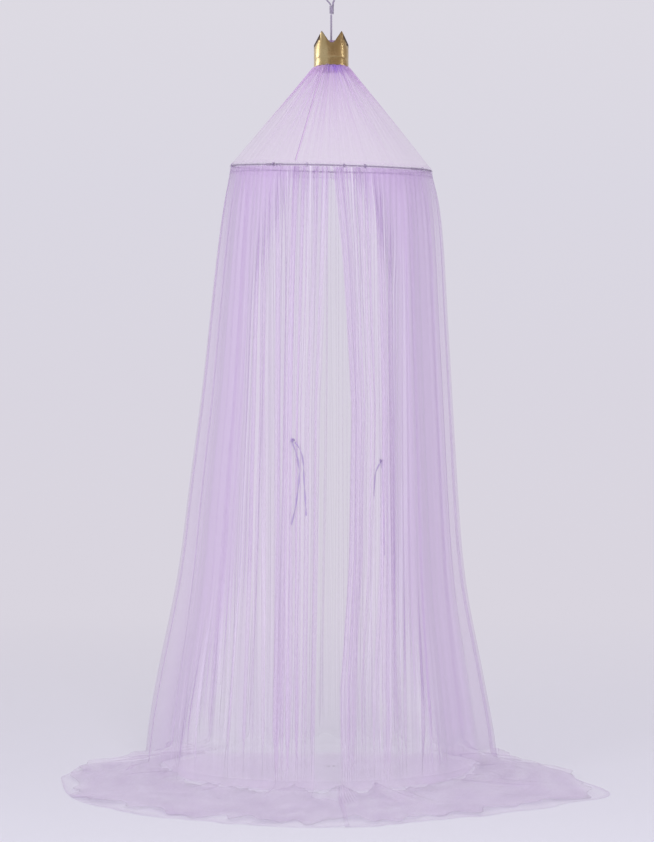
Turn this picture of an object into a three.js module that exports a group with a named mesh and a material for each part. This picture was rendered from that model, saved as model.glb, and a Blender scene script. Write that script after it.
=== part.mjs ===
// Bed crown canopy: a tulle net that hangs from one cord, with a gold crown over its gathered neck,
// a thin hoop that spreads it, and a pleated skirt, open at the front, that pools on the floor.
// Millimetres, +Z up. The origin is the inside of the top of the hanging loop, where a hook bears.
// The front, with the opening between the two curtains, faces -Y, and +X is on its right.
// Angles round the canopy run from the front, in degrees, and are positive towards +X.
import * as THREE from 'three';

// Whole object
const hang_height = 2350;      // hook to floor
const hoop_drop = 553.5;       // hook to the hoop's centre
const hoop_diameter = 600;     // between the rod's centres
const hoop_lean_deg = 1.46;    // the hoop hangs lower on its right
const seat_gap = 0.3;          // left between pieces that touch

// Cord, its loop and its knots
const cord_diameter = 6;
const loop_cord_diameter = 5;
const loop_knot_top = 62;      // below the origin
const loop_knot_height = 28;
const loop_knot_width = 14;
const stop_knot_width = 15;
const stop_knot_height = 16;

// Neck: the net's top edge, bunched round the cord and bound
const neck_tuft_top = 168;     // below the origin
const neck_waist_top = 188;
const neck_waist_height = 16;
const neck_bottom = 226;
const neck_tuft_radius = 17;
const neck_waist_radius = 10.5;
const neck_body_radius = 12.5;
const neck_flute_depth = 1.6;
const neck_flutes = 8;
const binding_thread = 2.4;
const binding_turns = 4;

// Crown: a gold band on a dark backing, cut into points, that stands on the net's shoulder
const crown_drop = 253;        // origin to the centre of the crown's lower rim
const crown_radius = 52;
const crown_tip_height = 105;
const crown_valley_height = 67;
const crown_crease_height = 26;
const crown_crease_depth = 0.7;
const crown_wall = 1.2;
const crown_lining_wall = 0.9;
const crown_lining_rise = 0.9; // the backing shows past the gold at the cut edge
const crown_turn_deg = 2;
const crown_lean_deg = 10;     // leans back, with its front rim up
const crown_column_deg = 6;
const crown_lap_columns = 2;   // the band's end lies over its start by this many columns
// Heights of the cut edge from valley to tip, a column apart, over a quarter turn from the front.
// The back quarters mirror the front ones, so the crown has four points.
const crown_edge_shares = [
  0, 0.03, 0.18, 0.4, 0.61, 0.81, 1, 0.81, 0.63, 0.47, 0.34, 0.235, 0.165, 0.125, 0.11, 0.11,
];

// Top net: the cone from the neck over the crown's rim to the hoop
const net_wall = 1.6;
const net_columns = 48;
const shoulder_radius = 57;
const shoulder_drop = 3;       // under the crown's rim plane
const net_crease_depth = 2.4;
const seam_width = 4;
const seam_wall = 1;
const seam_column = 45;        // 22.5 degrees left of the front

// Hoop, its sleeves and the casing that the net is sewn to
const rod_diameter = 4.5;
const rod_count = 4;
const rod_steps = 18;
const first_joint_deg = -33.7;
const sleeve_diameter = 6.4;
const sleeve_clearance = 0.3;
const casing_wall = 0.9;
const casing_drop = 20;        // stitch line under the hoop
const casing_columns = 60;
const casing_slack = 0.6;      // cloth channel round the rod and the skirt's top

// Skirt
const skirt_wall = 2;
const skirt_top_drop = 10;     // skirt's top edge, held in the casing
const flare_left = 219;        // how far the foot stands out past the hoop
const flare_right = 159;
const flare_front = 85;
const flare_back = 50;
const fold_count = 20;
const fold_depth = 28;         // at the foot
const fold_growth_power = 0.4;
const foot_bend = 42;          // radius where the cloth turns out on to the floor
const pool_reach = 800;
const pool_fold_height = 34;
const pool_edge_height = 7;
const column_deg = 3;

// Cloth that has slid inwards over the floor, from the skirt's foot towards the axis
const inner_fold_radius = 35;
const inner_fold_bend = 26;
const inner_fold_height = 20;
const inner_fold_edge_height = 6;
const inner_lobe_count = 7;
const inner_lobe_share = 0.22;
const inner_column_deg = 4.5;
const inner_row_shares = [1, 0.75, 0.4, 0];
const inner_bend_shares = { out: 0.76, up: 0.4 };
const side_seam_deg = 62;      // skirt sides start here, behind the front curtains
const back_seam_deg = 120;
const panel_left_deg = 22;     // the part of each curtain that is drawn aside
const panel_right_deg = 28;
const opening_width = 48;
const pool_meeting_deg = 3.4;  // where the two front edges come together on the floor
const pool_edge_deg = 1;

// The cloth's shape, as shares of the sizes above
const drop_shares = [0, 0.05, 0.13, 0.22, 0.39, 0.56, 0.73, 0.9, 1];
const left_flare_shares = [0, 0.07, 0.155, 0.23, 0.37, 0.55, 0.7, 0.89, 1];
const right_flare_shares = [0, 0.12, 0.195, 0.24, 0.34, 0.44, 0.57, 0.81, 1];
const opening_drop_shares = [0, 0.15, 0.4, 0.65, 0.85, 1];
const opening_left_shares = [-0.04, -0.25, -0.7, -0.8, -0.94, -1.05];
const opening_right_shares = [0.08, 0.62, 1.25, 1.05, 0.46, 0.52];
const row_shares = [0.05, 0.13, 0.25, 0.4, 0.55, 0.7, 0.85, 1];
const bend_row_shares = [0.55];
const pool_row_shares = [0, 0.3, 0.65, 1];
// Where the pool's hem lies: degrees round the canopy, and its share of pool_reach
const hem_shares = [
  [-180, 0.525], [-140, 0.55], [-120, 0.59], [-101, 0.71], [-90, 0.96], [-79, 1.01], [-61, 1.04],
  [-44, 1], [-28, 0.94], [-10, 0.92], [8, 0.915], [22, 0.89], [39, 0.93], [53, 1],
  [65, 1.09], [80, 0.91], [94, 0.79], [101, 0.65], [120, 0.59], [140, 0.55], [180, 0.525],
];

// Tie tapes on the front curtains
const tie_diameter = 5;
const tie_knot_width = 14;
const tie_knot_height = 17;
const tie_knot_depth = 10;
const tie_left_deg = -17.5;
const tie_left_drop = 1340;
const tie_right_deg = 23.9;
const tie_right_drop = 1402;
const tie_row_length = 15;

// Derived sizes
const floor_z = -hang_height;
const hoop_radius = hoop_diameter / 2;
const foot_z = floor_z + foot_bend;
const cord_radius = cord_diameter / 2;
const loop_cord_radius = loop_cord_diameter / 2;

// Small helpers
const rad = THREE.MathUtils.degToRad;
const lerp = THREE.MathUtils.lerp;

function polar(angle, radius, z) {
  return new THREE.Vector3(radius * Math.sin(rad(angle)), -radius * Math.cos(rad(angle)), z);
}

// The value at x of a line through the points (xs, ys).
function along(x, xs, ys) {
  const last = xs.length - 1;
  if (x <= xs[0]) return ys[0];
  if (x >= xs[last]) return ys[last];
  const k = xs.findIndex((value) => value > x) - 1;
  return lerp(ys[k], ys[k + 1], (x - xs[k]) / (xs[k + 1] - xs[k]));
}

// The same, eased at each point, for a shape with no corners.
function eased(x, xs, ys) {
  const k = Math.min(Math.max(xs.findIndex((value) => value > x) - 1, 0), xs.length - 2);
  return lerp(ys[k], ys[k + 1], THREE.MathUtils.smoothstep(x, xs[k], xs[k + 1]));
}

// A closed geometry from points and quads or triangles, turned so that its faces point out.
function closedGeometry(points, faces) {
  const index = [];
  for (const face of faces) {
    index.push(face[0], face[1], face[2]);
    if (face.length === 4) index.push(face[0], face[2], face[3]);
  }
  let volume = 0;
  for (let k = 0; k < index.length; k += 3) {
    const [a, b, c] = [points[index[k]], points[index[k + 1]], points[index[k + 2]]];
    volume += a.dot(new THREE.Vector3().crossVectors(b, c));
  }
  if (volume < 0) index.reverse();
  const geometry = new THREE.BufferGeometry().setFromPoints(points);
  geometry.setIndex(index);
  geometry.computeVertexNormals();
  return geometry;
}

// A sheet with a thickness: face and back are grids of points, rows by columns.
function sheetGeometry(face, back, round = false) {
  const rows = face.length;
  const columns = face[0].length;
  const points = [...face.flat(), ...back.flat()];
  const at = (side, row, column) => (side * rows + row) * columns + (column % columns);
  const faces = [];
  const across = round ? columns : columns - 1;
  for (let row = 0; row < rows - 1; row += 1) {
    for (let c = 0; c < across; c += 1) {
      faces.push([at(0, row, c), at(0, row, c + 1), at(0, row + 1, c + 1), at(0, row + 1, c)]);
      faces.push([at(1, row, c), at(1, row + 1, c), at(1, row + 1, c + 1), at(1, row, c + 1)]);
    }
    if (!round) {
      faces.push([at(0, row, 0), at(0, row + 1, 0), at(1, row + 1, 0), at(1, row, 0)]);
      const end = columns - 1;
      faces.push([at(0, row, end), at(1, row, end), at(1, row + 1, end), at(0, row + 1, end)]);
    }
  }
  for (let c = 0; c < across; c += 1) {
    faces.push([at(0, 0, c), at(1, 0, c), at(1, 0, c + 1), at(0, 0, c + 1)]);
    const end = rows - 1;
    faces.push([at(0, end, c), at(0, end, c + 1), at(1, end, c + 1), at(1, end, c)]);
  }
  return closedGeometry(points, faces);
}

// A ring of equal sections, closed both ways.
function ringGeometry(sections) {
  const size = sections[0].length;
  const points = sections.flat();
  const faces = [];
  sections.forEach((section, k) => {
    const next = (k + 1) % sections.length;
    for (let i = 0; i < size; i += 1) {
      const j = (i + 1) % size;
      faces.push([k * size + i, next * size + i, next * size + j, k * size + j]);
    }
  });
  return closedGeometry(points, faces);
}

// The back of a sheet: each point moved in by the wall, square to its column's line.
function insetGrid(face, wall) {
  return face.map((row, r) => row.map((point, c) => {
    const above = face[Math.max(r - 1, 0)][c];
    const below = face[Math.min(r + 1, face.length - 1)][c];
    const run = Math.hypot(below.x, below.y) - Math.hypot(above.x, above.y);
    const rise = below.z - above.z;
    const length = Math.hypot(run, rise);
    const inward = new THREE.Vector3(point.x, point.y, 0).normalize().multiplyScalar(rise / length);
    inward.z = -run / length;
    return point.clone().addScaledVector(inward, wall);
  }));
}

function disc(radius, sides) {
  const corners = [];
  for (let i = 0; i < sides; i += 1) {
    const angle = (2 * Math.PI * (i + 0.5)) / sides;
    corners.push(new THREE.Vector2(radius * Math.cos(angle), radius * Math.sin(angle)));
  }
  return corners;
}

// A round bar or, with a bore, a pipe along a curve.
function barGeometry(path, radius, steps, sides = 8, bore = 0) {
  const shape = new THREE.Shape(disc(radius, sides));
  if (bore > 0) shape.holes.push(new THREE.Path(disc(bore, sides)));
  return new THREE.ExtrudeGeometry(shape, { steps, bevelEnabled: false, extrudePath: path });
}

// A tied knot: an egg with the cord's turns as slanting ridges.
function knotGeometry(width, depth, height, turns = 3) {
  const geometry = new THREE.SphereGeometry(1, 12, 8);
  const place = geometry.attributes.position;
  const point = new THREE.Vector3();
  for (let i = 0; i < place.count; i += 1) {
    point.fromBufferAttribute(place, i);
    const level = Math.sqrt(Math.max(0, 1 - point.y * point.y));
    const turn = Math.atan2(point.z, point.x) + point.y * turns;
    const ridge = 1 - 0.12 * level * (1 - Math.cos(turns * turn)) / 2;
    place.setXYZ(i, point.x * ridge * width / 2, point.z * ridge * depth / 2, point.y * height / 2);
  }
  geometry.index.array.reverse();
  geometry.deleteAttribute('uv');
  geometry.deleteAttribute('normal');
  return geometry;
}

// Materials
const finish = {
  cord: { color: 0x6f6478, roughness: 0.75, metalness: 0 },
  tulle: { color: 0xc9b3dd, roughness: 0.9, metalness: 0, transparent: true, opacity: 0.55 },
  thread: { color: 0xa78fc4, roughness: 0.8, metalness: 0 },
  gold: { color: 0xb8974a, roughness: 0.32, metalness: 1 },
  backing: { color: 0x4a3423, roughness: 0.8, metalness: 0 },
  rod: { color: 0x6b5f7a, roughness: 0.45, metalness: 0 },
};

function piece(name, geometry, look) {
  const mesh = new THREE.Mesh(geometry, new THREE.MeshStandardMaterial(finish[look]));
  mesh.name = name;
  return mesh;
}

// Hanging loop, knot and tail, which stay with the hook
// Routes are chosen by hand: the cord leaves the knot, goes round the hook and comes back.
const loop_route = [
  [-2, 0, -63], [-4, 0, -58], [-9, 0, -52], [-14, 0, -46], [-18, 0, -38], [-20, 0, -29],
  [-19.5, 0, -20], [-17, 0, -11], [-12.5, 0, -4], [-6.5, 0, 0.8], [0, 0, 2.5], [6.5, 0, 1],
  [12, 0, -4], [15.5, 0, -11], [16.5, 0, -20], [15, 0, -30], [11.5, 0, -41], [8, 0, -51],
  [6.2, 0, -57], [5.8, 0, -63],
];
const tail_route = [
  [4.5, -5.1, -64.5], [4.6, -6.3, -60], [6.5, -6.8, -53], [9.8, -6.8, -46], [12.4, -6.2, -40],
  [13.6, -6, -34],
];

function routed(points) {
  return new THREE.CatmullRomCurve3(points.map((p) => new THREE.Vector3(...p)));
}

function hangingEye() {
  const group = new THREE.Group();
  group.add(piece('hanging_loop', barGeometry(routed(loop_route), loop_cord_radius, 30), 'cord'));
  const knot = piece('loop_knot', knotGeometry(loop_knot_width, loop_knot_width, loop_knot_height), 'cord');
  knot.position.set(loop_cord_radius / 2, 0, -loop_knot_top - seat_gap - loop_knot_height / 2);
  group.add(knot);
  group.add(piece('loop_tail', barGeometry(routed(tail_route), loop_cord_radius, 12), 'cord'));
  return group;
}

// The single cord, from under the loop knot down through the neck to its stop knot
function hangingCord() {
  const top = -loop_knot_top - loop_knot_height - 2 * seat_gap;
  const bottom = -neck_bottom - seat_gap;
  const path = new THREE.LineCurve3(new THREE.Vector3(0, 0, top), new THREE.Vector3(0, 0, bottom));
  const group = new THREE.Group();
  group.add(piece('hanging_cord', barGeometry(path, cord_radius, 12), 'cord'));
  const knot = piece('stop_knot', knotGeometry(stop_knot_width, stop_knot_width, stop_knot_height), 'cord');
  knot.position.z = bottom - seat_gap - stop_knot_height / 2;
  group.add(knot);
  return group;
}

// Neck of bunched net round the cord, and the thread that binds it
function neck() {
  const waist_bottom = neck_waist_top + neck_waist_height;
  const flare = (neck_waist_top - neck_tuft_top) / 2;
  const profile = [
    [neck_tuft_radius, neck_tuft_top, neck_flute_depth],
    [neck_body_radius, neck_tuft_top + flare, neck_flute_depth],
    [neck_waist_radius, neck_waist_top, 0],
    [neck_waist_radius, waist_bottom, 0],
    [neck_body_radius, waist_bottom + flare, 0],
    [neck_body_radius, neck_bottom, 0],
  ];
  const columns = 3 * neck_flutes;
  const bore = (cord_radius + seat_gap) / Math.cos(Math.PI / columns);
  const ring = (radius, drop, flute) => Array.from({ length: columns }, (_, c) => {
    const hollow = c % 3 === 0 ? flute : 0;
    return polar((360 * c) / columns, radius - hollow, -drop);
  });
  const outer = profile.map(([radius, drop, flute]) => ring(radius, drop, flute));
  const inner = profile.map(([, drop]) => ring(bore, drop, 0));
  const group = new THREE.Group();
  group.add(piece('net_neck', sheetGeometry(outer, inner, true), 'tulle'));

  const start = -waist_bottom + (neck_waist_height - binding_turns * binding_thread) / 2;
  const inside = neck_waist_radius + seat_gap;
  const section = [[inside, start], [inside, start + binding_turns * binding_thread]];
  for (let turn = binding_turns; turn > 0; turn -= 1) {
    const middle = start + (turn - 0.5) * binding_thread;
    section.push([inside + binding_thread, middle + binding_thread / 4]);
    section.push([inside + binding_thread, middle - binding_thread / 4]);
    if (turn > 1) section.push([inside + binding_thread / 2, middle - binding_thread / 2]);
  }
  const sections = Array.from({ length: columns }, (_, c) => section.map(
    ([radius, z]) => polar((360 * c) / columns, radius, z),
  ));
  group.add(piece('neck_binding', ringGeometry(sections), 'thread'));
  return group;
}

// Height of the crown's cut edge at an angle of its own. The front and the back are alike.
function crownEdge(angle) {
  const from_front = Math.abs(((angle % 180) + 270) % 180 - 90);
  const columns = crown_edge_shares.map((_, i) => i * crown_column_deg);
  const share = along(from_front, columns, crown_edge_shares);
  return lerp(crown_valley_height, crown_tip_height, share);
}

// A band round the crown, from one end angle to the other. Its radius may grow over the lap.
function bandGeometry(radiusAt, wall, rise, start, end) {
  const count = Math.round((end - start) / crown_column_deg);
  const angles = Array.from({ length: count + 1 }, (_, i) => start + i * crown_column_deg);
  const grid = (offset) => [0, crown_crease_height, null].map((height) => angles.map((angle) => {
    const dent = height === crown_crease_height ? crown_crease_depth : 0;
    const z = height === null ? crownEdge(angle) + rise : height;
    return polar(angle, radiusAt(angle) - offset - dent, z);
  }));
  return sheetGeometry(grid(0), grid(wall));
}

function crown() {
  const lap = crown_lap_columns * crown_column_deg;
  const seam = 180 - lap / 2;
  const end = seam + 360 + lap;
  const lap_rise = crown_wall + seat_gap;
  const outer = (angle) => crown_radius + lap_rise * THREE.MathUtils.smoothstep(
    angle, end - lap - 2 * crown_column_deg, end - lap - crown_column_deg / 2,
  );
  const lining_radius = crown_radius - crown_wall - seat_gap;
  const group = new THREE.Group();
  group.add(piece('crown_band', bandGeometry(outer, crown_wall, 0, seam, end), 'gold'));
  group.add(piece('crown_lining', bandGeometry(
    () => lining_radius, crown_lining_wall, crown_lining_rise, seam, seam + 360 - crown_column_deg,
  ), 'backing'));
  group.position.z = -crown_drop;
  group.rotation.set(-rad(crown_lean_deg), 0, rad(crown_turn_deg), 'XYZ');
  return group;
}

// A point on a level circle of the crown's own leaning frame
function crownPoint(angle, radius, height) {
  const point = polar(angle, radius, height);
  point.applyAxisAngle(new THREE.Vector3(1, 0, 0), -rad(crown_lean_deg));
  point.z -= crown_drop;
  return point;
}

// A point round the hoop, up from its rod's centre
function hoopPoint(angle, radius, up) {
  const point = polar(angle, radius, 0);
  point.z = -hoop_drop - point.x * Math.tan(rad(hoop_lean_deg)) + up;
  return point;
}

// Half the width of the channel that the casing leaves for the rod, and its wall's top
const channel_radius = (sleeve_diameter / 2 + seat_gap + casing_slack) / Math.cos(Math.PI / 8);
const casing_top = channel_radius + casing_wall;

// Top net, as rings of points from the neck to the hoop
function topNetRings() {
  const inside = crown_radius - crown_wall - crown_lining_wall - 2 * seat_gap;
  const rings = [
    (angle) => polar(angle, neck_body_radius + seat_gap + net_wall, -neck_bottom + shoulder_drop),
    (angle) => crownPoint(angle, (neck_body_radius + inside) / 2, 2 * shoulder_drop),
    (angle) => crownPoint(angle, inside - shoulder_drop, shoulder_drop / 2),
    (angle) => crownPoint(angle, inside, -seat_gap),
    (angle) => crownPoint(angle, shoulder_radius, -shoulder_drop),
  ];
  const slope = Math.atan2(hoop_drop - crown_drop, hoop_radius - shoulder_radius);
  const rest = casing_top + seat_gap + net_wall * Math.cos(slope);
  const end = (angle) => hoopPoint(angle, hoop_radius, rest);
  for (const share of [1 / 3, 2 / 3, 1]) {
    rings.push((angle) => rings[4](angle).lerp(end(angle), share));
  }
  return rings;
}

function topNet() {
  const rings = topNetRings();
  const depths = [0, 0.5, 0.5, 0.5, 0.7, 1, 0.8, 0].map((share) => share * net_crease_depth);
  const step = 360 / net_columns;
  const face = rings.map((ring, r) => Array.from({ length: net_columns }, (_, c) => {
    const point = ring(c * step);
    if (c % 2 === 0) point.z -= depths[r];
    return point;
  }));
  const group = new THREE.Group();
  group.add(piece('top_net', sheetGeometry(face, insetGrid(face, net_wall), true), 'tulle'));

  // The seam lies along one ridge of the cone, from under the crown to the hoop.
  const up = new THREE.Vector3(0, 0, 1);
  const ridge = [0.06, 0.35, 0.65, 0.96].map((share) => {
    const a = face[4][seam_column];
    const b = face[7][seam_column];
    const spot = share * 3;
    const k = Math.floor(spot);
    const on = face[4 + k][seam_column].clone().lerp(face[5 + k][seam_column], spot - k);
    const across = new THREE.Vector3().crossVectors(b.clone().sub(a), up).normalize();
    return { on, across };
  });
  const out = ridge.map(({ across }) => {
    const slope = face[7][seam_column].clone().sub(face[4][seam_column]);
    const normal = new THREE.Vector3().crossVectors(slope, across).normalize();
    return normal.z < 0 ? normal.negate() : normal;
  });
  const strip = (lift) => ridge.map(({ on, across }, k) => [-1, 1].map((side) => on.clone()
    .addScaledVector(across, (side * seam_width) / 2)
    .addScaledVector(out[k], lift)));
  const seam = sheetGeometry(strip(seat_gap + seam_wall), strip(seat_gap));
  group.add(piece('top_net_seam', seam, 'thread'));
  return group;
}

// Part of the hoop's circle as a curve
class HoopArc extends THREE.Curve {
  constructor(start, end) {
    super();
    this.start = start;
    this.end = end;
  }

  getPoint(t) {
    return hoopPoint(lerp(this.start, this.end, t), hoop_radius, 0);
  }
}

function hoop() {
  const group = new THREE.Group();
  const span = 360 / rod_count;
  const step = span / rod_steps;
  const end_gap = seat_gap / hoop_radius / 2;
  const bore = (rod_diameter / 2 + sleeve_clearance) / Math.cos(Math.PI / 8);
  for (let k = 0; k < rod_count; k += 1) {
    const joint = first_joint_deg + k * span;
    const gap = THREE.MathUtils.radToDeg(end_gap);
    const rod = barGeometry(new HoopArc(joint + gap, joint + span - gap), rod_diameter / 2, rod_steps);
    group.add(piece(`hoop_rod_${k + 1}`, rod, 'rod'));
    const sleeve = barGeometry(new HoopArc(joint - step, joint + step), sleeve_diameter / 2, 2, 8, bore);
    group.add(piece(`hoop_sleeve_${k + 1}`, sleeve, 'rod'));
  }
  return group;
}

// Casing: a strip of net folded over the hoop, whose two legs hold the skirt's top edge
function casing() {
  const leg = skirt_wall / 2 + casing_slack;
  const channel_drop = channel_radius * 1.8;
  const arch = [0, 45, 90, 135, 180].map((angle) => [
    channel_radius * Math.cos(rad(angle)), channel_radius * Math.sin(rad(angle)),
  ]);
  const hood = [0, 45, 90, 135, 180].map((angle) => [
    casing_top * Math.cos(rad(angle)), casing_top * Math.sin(rad(angle)),
  ]);
  const section = [
    [leg + casing_wall, -casing_drop], ...hood, [-leg - casing_wall, -casing_drop],
    [-leg, -casing_drop], [-leg, -channel_drop], ...arch.reverse(), [leg, -channel_drop],
    [leg, -casing_drop],
  ];
  const sections = Array.from({ length: casing_columns }, (_, c) => section.map(
    ([out, up]) => hoopPoint((360 * c) / casing_columns, hoop_radius + out, up),
  ));
  return piece('hoop_casing', ringGeometry(sections), 'tulle');
}

// The folds are phased so that the crest of one carries each tie.
const tie_left_turn = fold_count * tie_left_deg;
const tie_right_turn = fold_count * tie_right_deg;
const tie_sine_span = Math.sin(rad(tie_right_deg)) - Math.sin(rad(tie_left_deg));
const turns_between = Math.round((tie_right_turn - tie_left_turn) / 360) * 360;
const fold_swing_deg = (turns_between - (tie_right_turn - tie_left_turn)) / tie_sine_span;
const fold_start_deg = -tie_left_turn - fold_swing_deg * Math.sin(rad(tie_left_deg));

function foldCosine(angle) {
  return Math.cos(rad(fold_count * angle + fold_start_deg + fold_swing_deg * Math.sin(rad(angle))));
}

// Mean radius of the hanging cloth, at a share of its drop
function clothRadius(angle, drop) {
  const sine = Math.sin(rad(angle));
  const cosine = Math.cos(rad(angle));
  const left = along(drop, drop_shares, left_flare_shares);
  const right = along(drop, drop_shares, right_flare_shares);
  const side = sine < 0 ? flare_left * left : flare_right * right;
  const ends = (cosine > 0 ? flare_front : flare_back) * (left + right) / 2;
  return hoop_radius + sine * sine * side + cosine * cosine * ends;
}

// Radius of the pool's hem
function hemRadius(angle) {
  const turned = ((angle + 540) % 360) - 180;
  const degrees = hem_shares.map(([value]) => value);
  const shares = hem_shares.map(([, value]) => value);
  return pool_reach * eased(turned, degrees, shares);
}

// The rows of the skirt, from its top edge in the casing to the pool's hem
const skirt_rows = [
  { part: 'held', up: -skirt_top_drop },
  { part: 'held', up: -casing_drop - seat_gap },
  ...row_shares.map((share) => ({ part: 'hang', share })),
  ...bend_row_shares.map((share) => ({ part: 'bend', share })),
  ...pool_row_shares.map((share) => ({ part: 'pool', share })),
];

// The outer face of the cloth at an angle, on a row
function clothPoint(angle, row) {
  if (row.part === 'held') return hoopPoint(angle, hoop_radius + skirt_wall / 2, row.up);
  const fold = foldCosine(angle);
  if (row.part === 'hang') {
    const top = hoopPoint(angle, hoop_radius, 0).z;
    const radius = clothRadius(angle, row.share) + fold_depth * row.share ** fold_growth_power * fold;
    return polar(angle, radius, lerp(top, foot_z, row.share));
  }
  const foot = clothRadius(angle, 1) + fold_depth * fold;
  const ridge = (1 + fold) / 2;
  const rest = floor_z + skirt_wall;
  if (row.part === 'bend') {
    const turn = row.share * Math.PI / 2;
    const out = foot_bend * (1 - Math.cos(turn));
    const height = lerp(foot_bend, skirt_wall + pool_fold_height * ridge, Math.sin(turn));
    return polar(angle, foot + out, floor_z + height);
  }
  const radius = lerp(foot + foot_bend, hemRadius(angle), row.share);
  const height = lerp(pool_fold_height, pool_edge_height, row.share) * ridge;
  return polar(angle, radius, rest + height);
}

// The angle of a front curtain's free edge on a row
function edgeAngle(row, side) {
  const shares = side < 0 ? opening_left_shares : opening_right_shares;
  const drop = { held: 0, hang: row.share, bend: 1, pool: 1 }[row.part];
  const x = opening_width * along(drop, opening_drop_shares, shares);
  const angle = THREE.MathUtils.radToDeg(Math.asin(x / clothRadius(0, drop)));
  return row.part === 'pool' ? lerp(angle, pool_meeting_deg + side * pool_edge_deg, row.share) : angle;
}

// One width of the skirt between two angles. An end may follow the opening's edge.
function clothGeometry(rows, startAt, endAt, startMeets, endMeets) {
  const width = endAt(rows[rows.length - 1]) - startAt(rows[rows.length - 1]);
  const columns = Math.max(4, Math.round(width / column_deg));
  const grid = (shift) => rows.map((row) => Array.from({ length: columns + 1 }, (_, c) => {
    const angle = lerp(startAt(row), endAt(row), c / columns);
    const point = clothPoint(angle, row);
    const aside = new THREE.Vector3(Math.cos(rad(angle)), Math.sin(rad(angle)), 0);
    if (c === 0 && startMeets) point.addScaledVector(aside, shift);
    if (c === columns && endMeets) point.addScaledVector(aside, -shift);
    return point;
  }));
  const face = grid(seat_gap / 2);
  return sheetGeometry(face, insetGrid(face, skirt_wall));
}

function skirt() {
  const group = new THREE.Group();
  const fixed = (angle) => () => angle;
  const width = (name, start, end) => group.add(piece(
    name, clothGeometry(skirt_rows, fixed(start), fixed(end), true, true), 'tulle',
  ));
  width('skirt_back', back_seam_deg, 360 - back_seam_deg);
  width('skirt_left', -back_seam_deg, -side_seam_deg);
  width('skirt_right', side_seam_deg, back_seam_deg);
  width('curtain_left', -side_seam_deg, -panel_left_deg);
  width('curtain_right', panel_right_deg, side_seam_deg);
  return group;
}

// The top face of the cloth that has slid inwards. It starts under the inner face of the folds.
function innerFoldPoint(angle, row) {
  const lip = clothRadius(angle, 1) - fold_depth - 2 * skirt_wall - seat_gap;
  const edge = inner_fold_radius * (1 + inner_lobe_share * Math.sin(rad(inner_lobe_count * angle)));
  const ridge = (1 + foldCosine(angle)) / 2;
  const rest = floor_z + skirt_wall;
  const start = inner_fold_height * ridge;
  const top = foot_z - rest - seat_gap;
  if (row.part === 'lip') return polar(angle, lip, rest + top);
  if (row.part === 'bend') {
    return polar(angle, lip - inner_fold_bend * (1 - row.out), rest + lerp(start, top, row.up));
  }
  const height = lerp(inner_fold_height, inner_fold_edge_height, row.share) * ridge;
  return polar(angle, lerp(lip - inner_fold_bend, edge, row.share), rest + height);
}

function floorFolds() {
  const rows = [
    ...inner_row_shares.map((share) => ({ part: 'floor', share })),
    { part: 'bend', ...inner_bend_shares },
    { part: 'lip' },
  ];
  const fold = (name, start, end) => {
    const columns = Math.round((end - start) / inner_column_deg);
    const face = rows.map((row) => Array.from({ length: columns + 1 }, (_, c) => {
      const angle = lerp(start, end, c / columns);
      const point = innerFoldPoint(angle, row);
      const aside = new THREE.Vector3(Math.cos(rad(angle)), Math.sin(rad(angle)), 0);
      if (c === 0) point.addScaledVector(aside, seat_gap / 2);
      if (c === columns) point.addScaledVector(aside, -seat_gap / 2);
      return point;
    }));
    return piece(name, sheetGeometry(face, insetGrid(face, skirt_wall)), 'tulle');
  };
  const group = new THREE.Group();
  group.add(fold('floor_fold_left', -back_seam_deg, pool_meeting_deg));
  group.add(fold('floor_fold_right', pool_meeting_deg, back_seam_deg));
  group.add(fold('floor_fold_back', back_seam_deg, 360 - back_seam_deg));
  return group;
}

// The free part of each front curtain hangs from just under the casing.
const panel_rows = [{ part: 'held', up: -casing_drop - seat_gap }, ...skirt_rows.slice(2)];

// A tie: a knot against the cloth and two tails that hang from it, each along a route chosen
// by hand, as steps aside and down from the knot's middle
const tie_routes = {
  left: {
    long: [
      [0.4, -9.1], [4, -20], [9, -34], [15, -50], [18, -66], [20, -82], [20.5, -98], [20, -114],
      [19, -130], [17.5, -146], [15.5, -162], [13, -178], [10, -194], [7, -209], [3.5, -224], [0, -239],
    ],
    short: [
      [6.1, -5.5], [14, -14], [22, -26], [28, -42], [31, -58], [33, -74], [34, -90], [35, -106],
      [36, -122], [37.5, -138], [39, -154], [40.5, -170], [42, -186], [43, -200], [43.5, -212],
    ],
  },
  right: {
    long: [
      [2, -8.8], [5, -22], [8, -38], [9, -56], [9.5, -74], [10, -92], [10.5, -110], [11, -128],
      [11.5, -146], [12, -164], [12.5, -182], [13, -200], [13.5, -218], [14, -236], [14.5, -254], [15, -270],
    ],
    short: [
      [-5.2, -7.3], [-9, -16], [-12, -26], [-14, -37], [-15.5, -48], [-16.5, -59], [-17, -70],
      [-17.5, -81], [-18, -91], [-18, -100],
    ],
  },
};

// The least or greatest radius of the cloth's face where a tie touches it
function tieSeat(angle, z) {
  const top = hoopPoint(angle, hoop_radius, 0).z;
  const share = (top - z) / (top - foot_z);
  return clothRadius(angle, share) + fold_depth * share ** fold_growth_power;
}

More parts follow.
